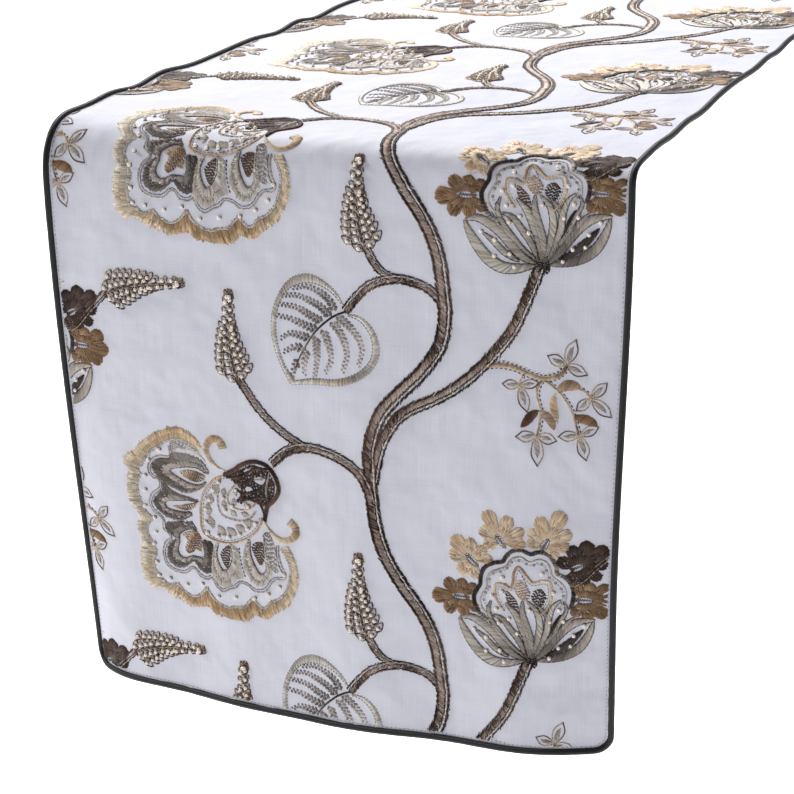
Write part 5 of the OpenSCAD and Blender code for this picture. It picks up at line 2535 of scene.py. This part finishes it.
@dataclass
class Studio:
    """The plain floor, the soft lights and the camera.

    Attributes:
        floor_z: Height of the floor, in metres.
        eye: The camera's place.
        aim: A point that it looks at.
        roll: Its roll, in degrees.
        lens: Its focal length, in millimetres.
        card_place: Middle of the backdrop card that stands under the table top.
        card_size: Its width and height, in metres.
    """

    floor_z: float
    eye: tuple[float, float, float]
    aim: tuple[float, float, float]
    roll: float
    lens: float
    card_place: tuple[float, float, float]
    card_size: tuple[float, float]

    def camera(self) -> bpy.types.Object:
        """Makes the camera.

        Returns:
            The camera.
        """
        data = bpy.data.cameras.new("studio_camera")
        data.lens = self.lens
        data.sensor_width = 36
        camera = bpy.data.objects.new("studio_camera", data)
        bpy.context.scene.collection.objects.link(camera)
        way = Vector(self.aim) - Vector(self.eye)
        turn = way.to_track_quat("-Z", "Y").to_matrix().to_4x4()
        spin = Matrix.Rotation(math.radians(self.roll), 4, "Z")
        camera.matrix_world = Matrix.Translation(self.eye) @ turn @ spin
        bpy.context.scene.camera = camera
        return camera

    def lamp(
        self, name: str, place: Sequence[float], aim: Sequence[float], size: float, power: float,
        colour: Sequence[float] = (1, 1, 1),
    ) -> None:
        """Adds one soft box.

        Args:
            name: Its name.
            place: Where it stands.
            aim: What it points at.
            size: Its width, in metres.
            power: Its power, in watts.
            colour: Its colour.
        """
        data = bpy.data.lights.new(name, "AREA")
        data.shape = "SQUARE"
        data.size = size
        data.energy = power
        data.color = colour
        lamp = bpy.data.objects.new(name, data)
        bpy.context.scene.collection.objects.link(lamp)
        lamp.location = place
        lamp.rotation_euler = (Vector(aim) - Vector(place)).to_track_quat("-Z", "Y").to_euler()

    def build(self) -> None:
        """Makes the floor, the lights and the camera."""
        bare()
        bpy.ops.mesh.primitive_plane_add(size=60, location=(0, 0, self.floor_z))
        floor = bpy.context.active_object
        floor.name = "studio_floor"
        floor.data.materials.append(StudioFinish().material())
        world = bpy.data.worlds.new("studio")
        bpy.context.scene.world = world
        world.use_nodes = True
        world.node_tree.nodes["Background"].inputs[0].default_value = (0.95, 0.955, 1.0, 1)
        world.node_tree.nodes["Background"].inputs[1].default_value = 0.24
        front = (0, -0.75, -0.1)
        self.lamp("key_light", (-2.5, -1.0, 1.7), front, 0.7, 62)
        self.lamp("top_light", (-0.9, 1.2, 2.1), (0, -0.2, 0), 1.6, 105)
        bpy.ops.mesh.primitive_plane_add(size=1, location=self.card_place, rotation=(math.pi / 2, 0, 0))
        card = bpy.context.active_object
        card.name = "studio_backdrop"
        card.scale = (self.card_size[0], self.card_size[1], 1)
        card.data.materials.append(floor.data.materials[0])
        self.camera()
        bpy.context.scene.view_settings.view_transform = "Standard"


# ---------------------------------------------------------------------------------------------------
# Assembly
# ---------------------------------------------------------------------------------------------------


def build_cloth(drape: Drape) -> tuple[list[ClothLayer], list[dict[End, bpy.types.Object]]]:
    """Makes the three layers.

    Args:
        drape: The runner's drape.

    Returns:
        The layers and their halves, from the lining up.
    """
    tops = {}
    for name in ("lining", "interlining", "face"):
        low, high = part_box(f"span_{name}")
        tops[name] = (high[2] / MM, (high[2] - low[2]) / MM, drape.half_w - high[0] / MM)
    looks = {
        "lining": WovenFinish("cotton_lining", (214, 212, 210), (196, 194, 192), 0.55, 0.05),
        "interlining": WovenFinish("brushed_interlining", (238, 236, 228), (226, 223, 214), 0.9, 0.12),
        "face": WovenFinish("slub_linen", (216, 216, 226), (194, 194, 206), 0.62, 0.12),
    }
    shape = {"lining": (9.0, 8.0), "interlining": (4.0, 9.0), "face": (9.0, 4.2)}
    layers, halves = [], []
    for name, (top, thickness, inset) in tops.items():
        slot = "face_cloth" if name == "face" else name
        corner, pitch = shape[name]
        layer = ClothLayer(name, slot, looks[name], drape, inset, top, thickness, corner, pitch)
        layers.append(layer)
        halves.append(layer.build())
    return layers, halves


def main() -> None:
    """Builds the runner and its studio."""
    logging.basicConfig(level=logging.INFO, format="%(name)s: %(message)s")
    drape = Drape.from_frame()
    low, _ = CAD_BOX
    front_y = -(drape.half_span + drape.fold_r + drape.face_top) * MM
    eye = (0.522, front_y - 1.0811, 0.2881)
    card_height = (drape.drop + 8) * MM
    Studio(
        floor_z=low[2] - 0.35,
        eye=eye,
        aim=(eye[0] - 0.3726, eye[1] + 0.858, eye[2] - 0.3536),
        roll=-1.03,
        lens=88.6,
        card_place=(0, (drape.half_span - 22) * MM, -card_height / 2 - 0.004),
        card_size=((2 * drape.half_w + 14) * MM, card_height),
    ).build()
    layers, halves = build_cloth(drape)
    piping = Piping(drape, outer_r=2.2, cord_r=1.55).build()
    sewing = Embroidery(drape)
    motifs = (
        Vines(), HeartLeaf(), FanFlower(), FanHeart(), CrownBloom(), CrownFlorets(), BudSpike(),
        Trefoils(),
    )
    thread = ThreadFinish("satin_thread")
    sewn = sewing.build(motifs, thread)
    seams = SeamStitching(sewing).build(ThreadFinish("seam_thread", 0.6))
    beads = PearlBeads(drape).build(np.concatenate(sewing.pearls))
    for end in End:
        lining, inter, face = (half[end] for half in halves)
        layers[0].declare(lining, [], [])
        layers[1].declare(inter, [lining], [])
        extras = [*sewn[end], seams[end], beads[end], *piping[end]]
        layers[2].declare(face, [inter], extras)
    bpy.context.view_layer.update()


if __name__ == "__main__":
    main()
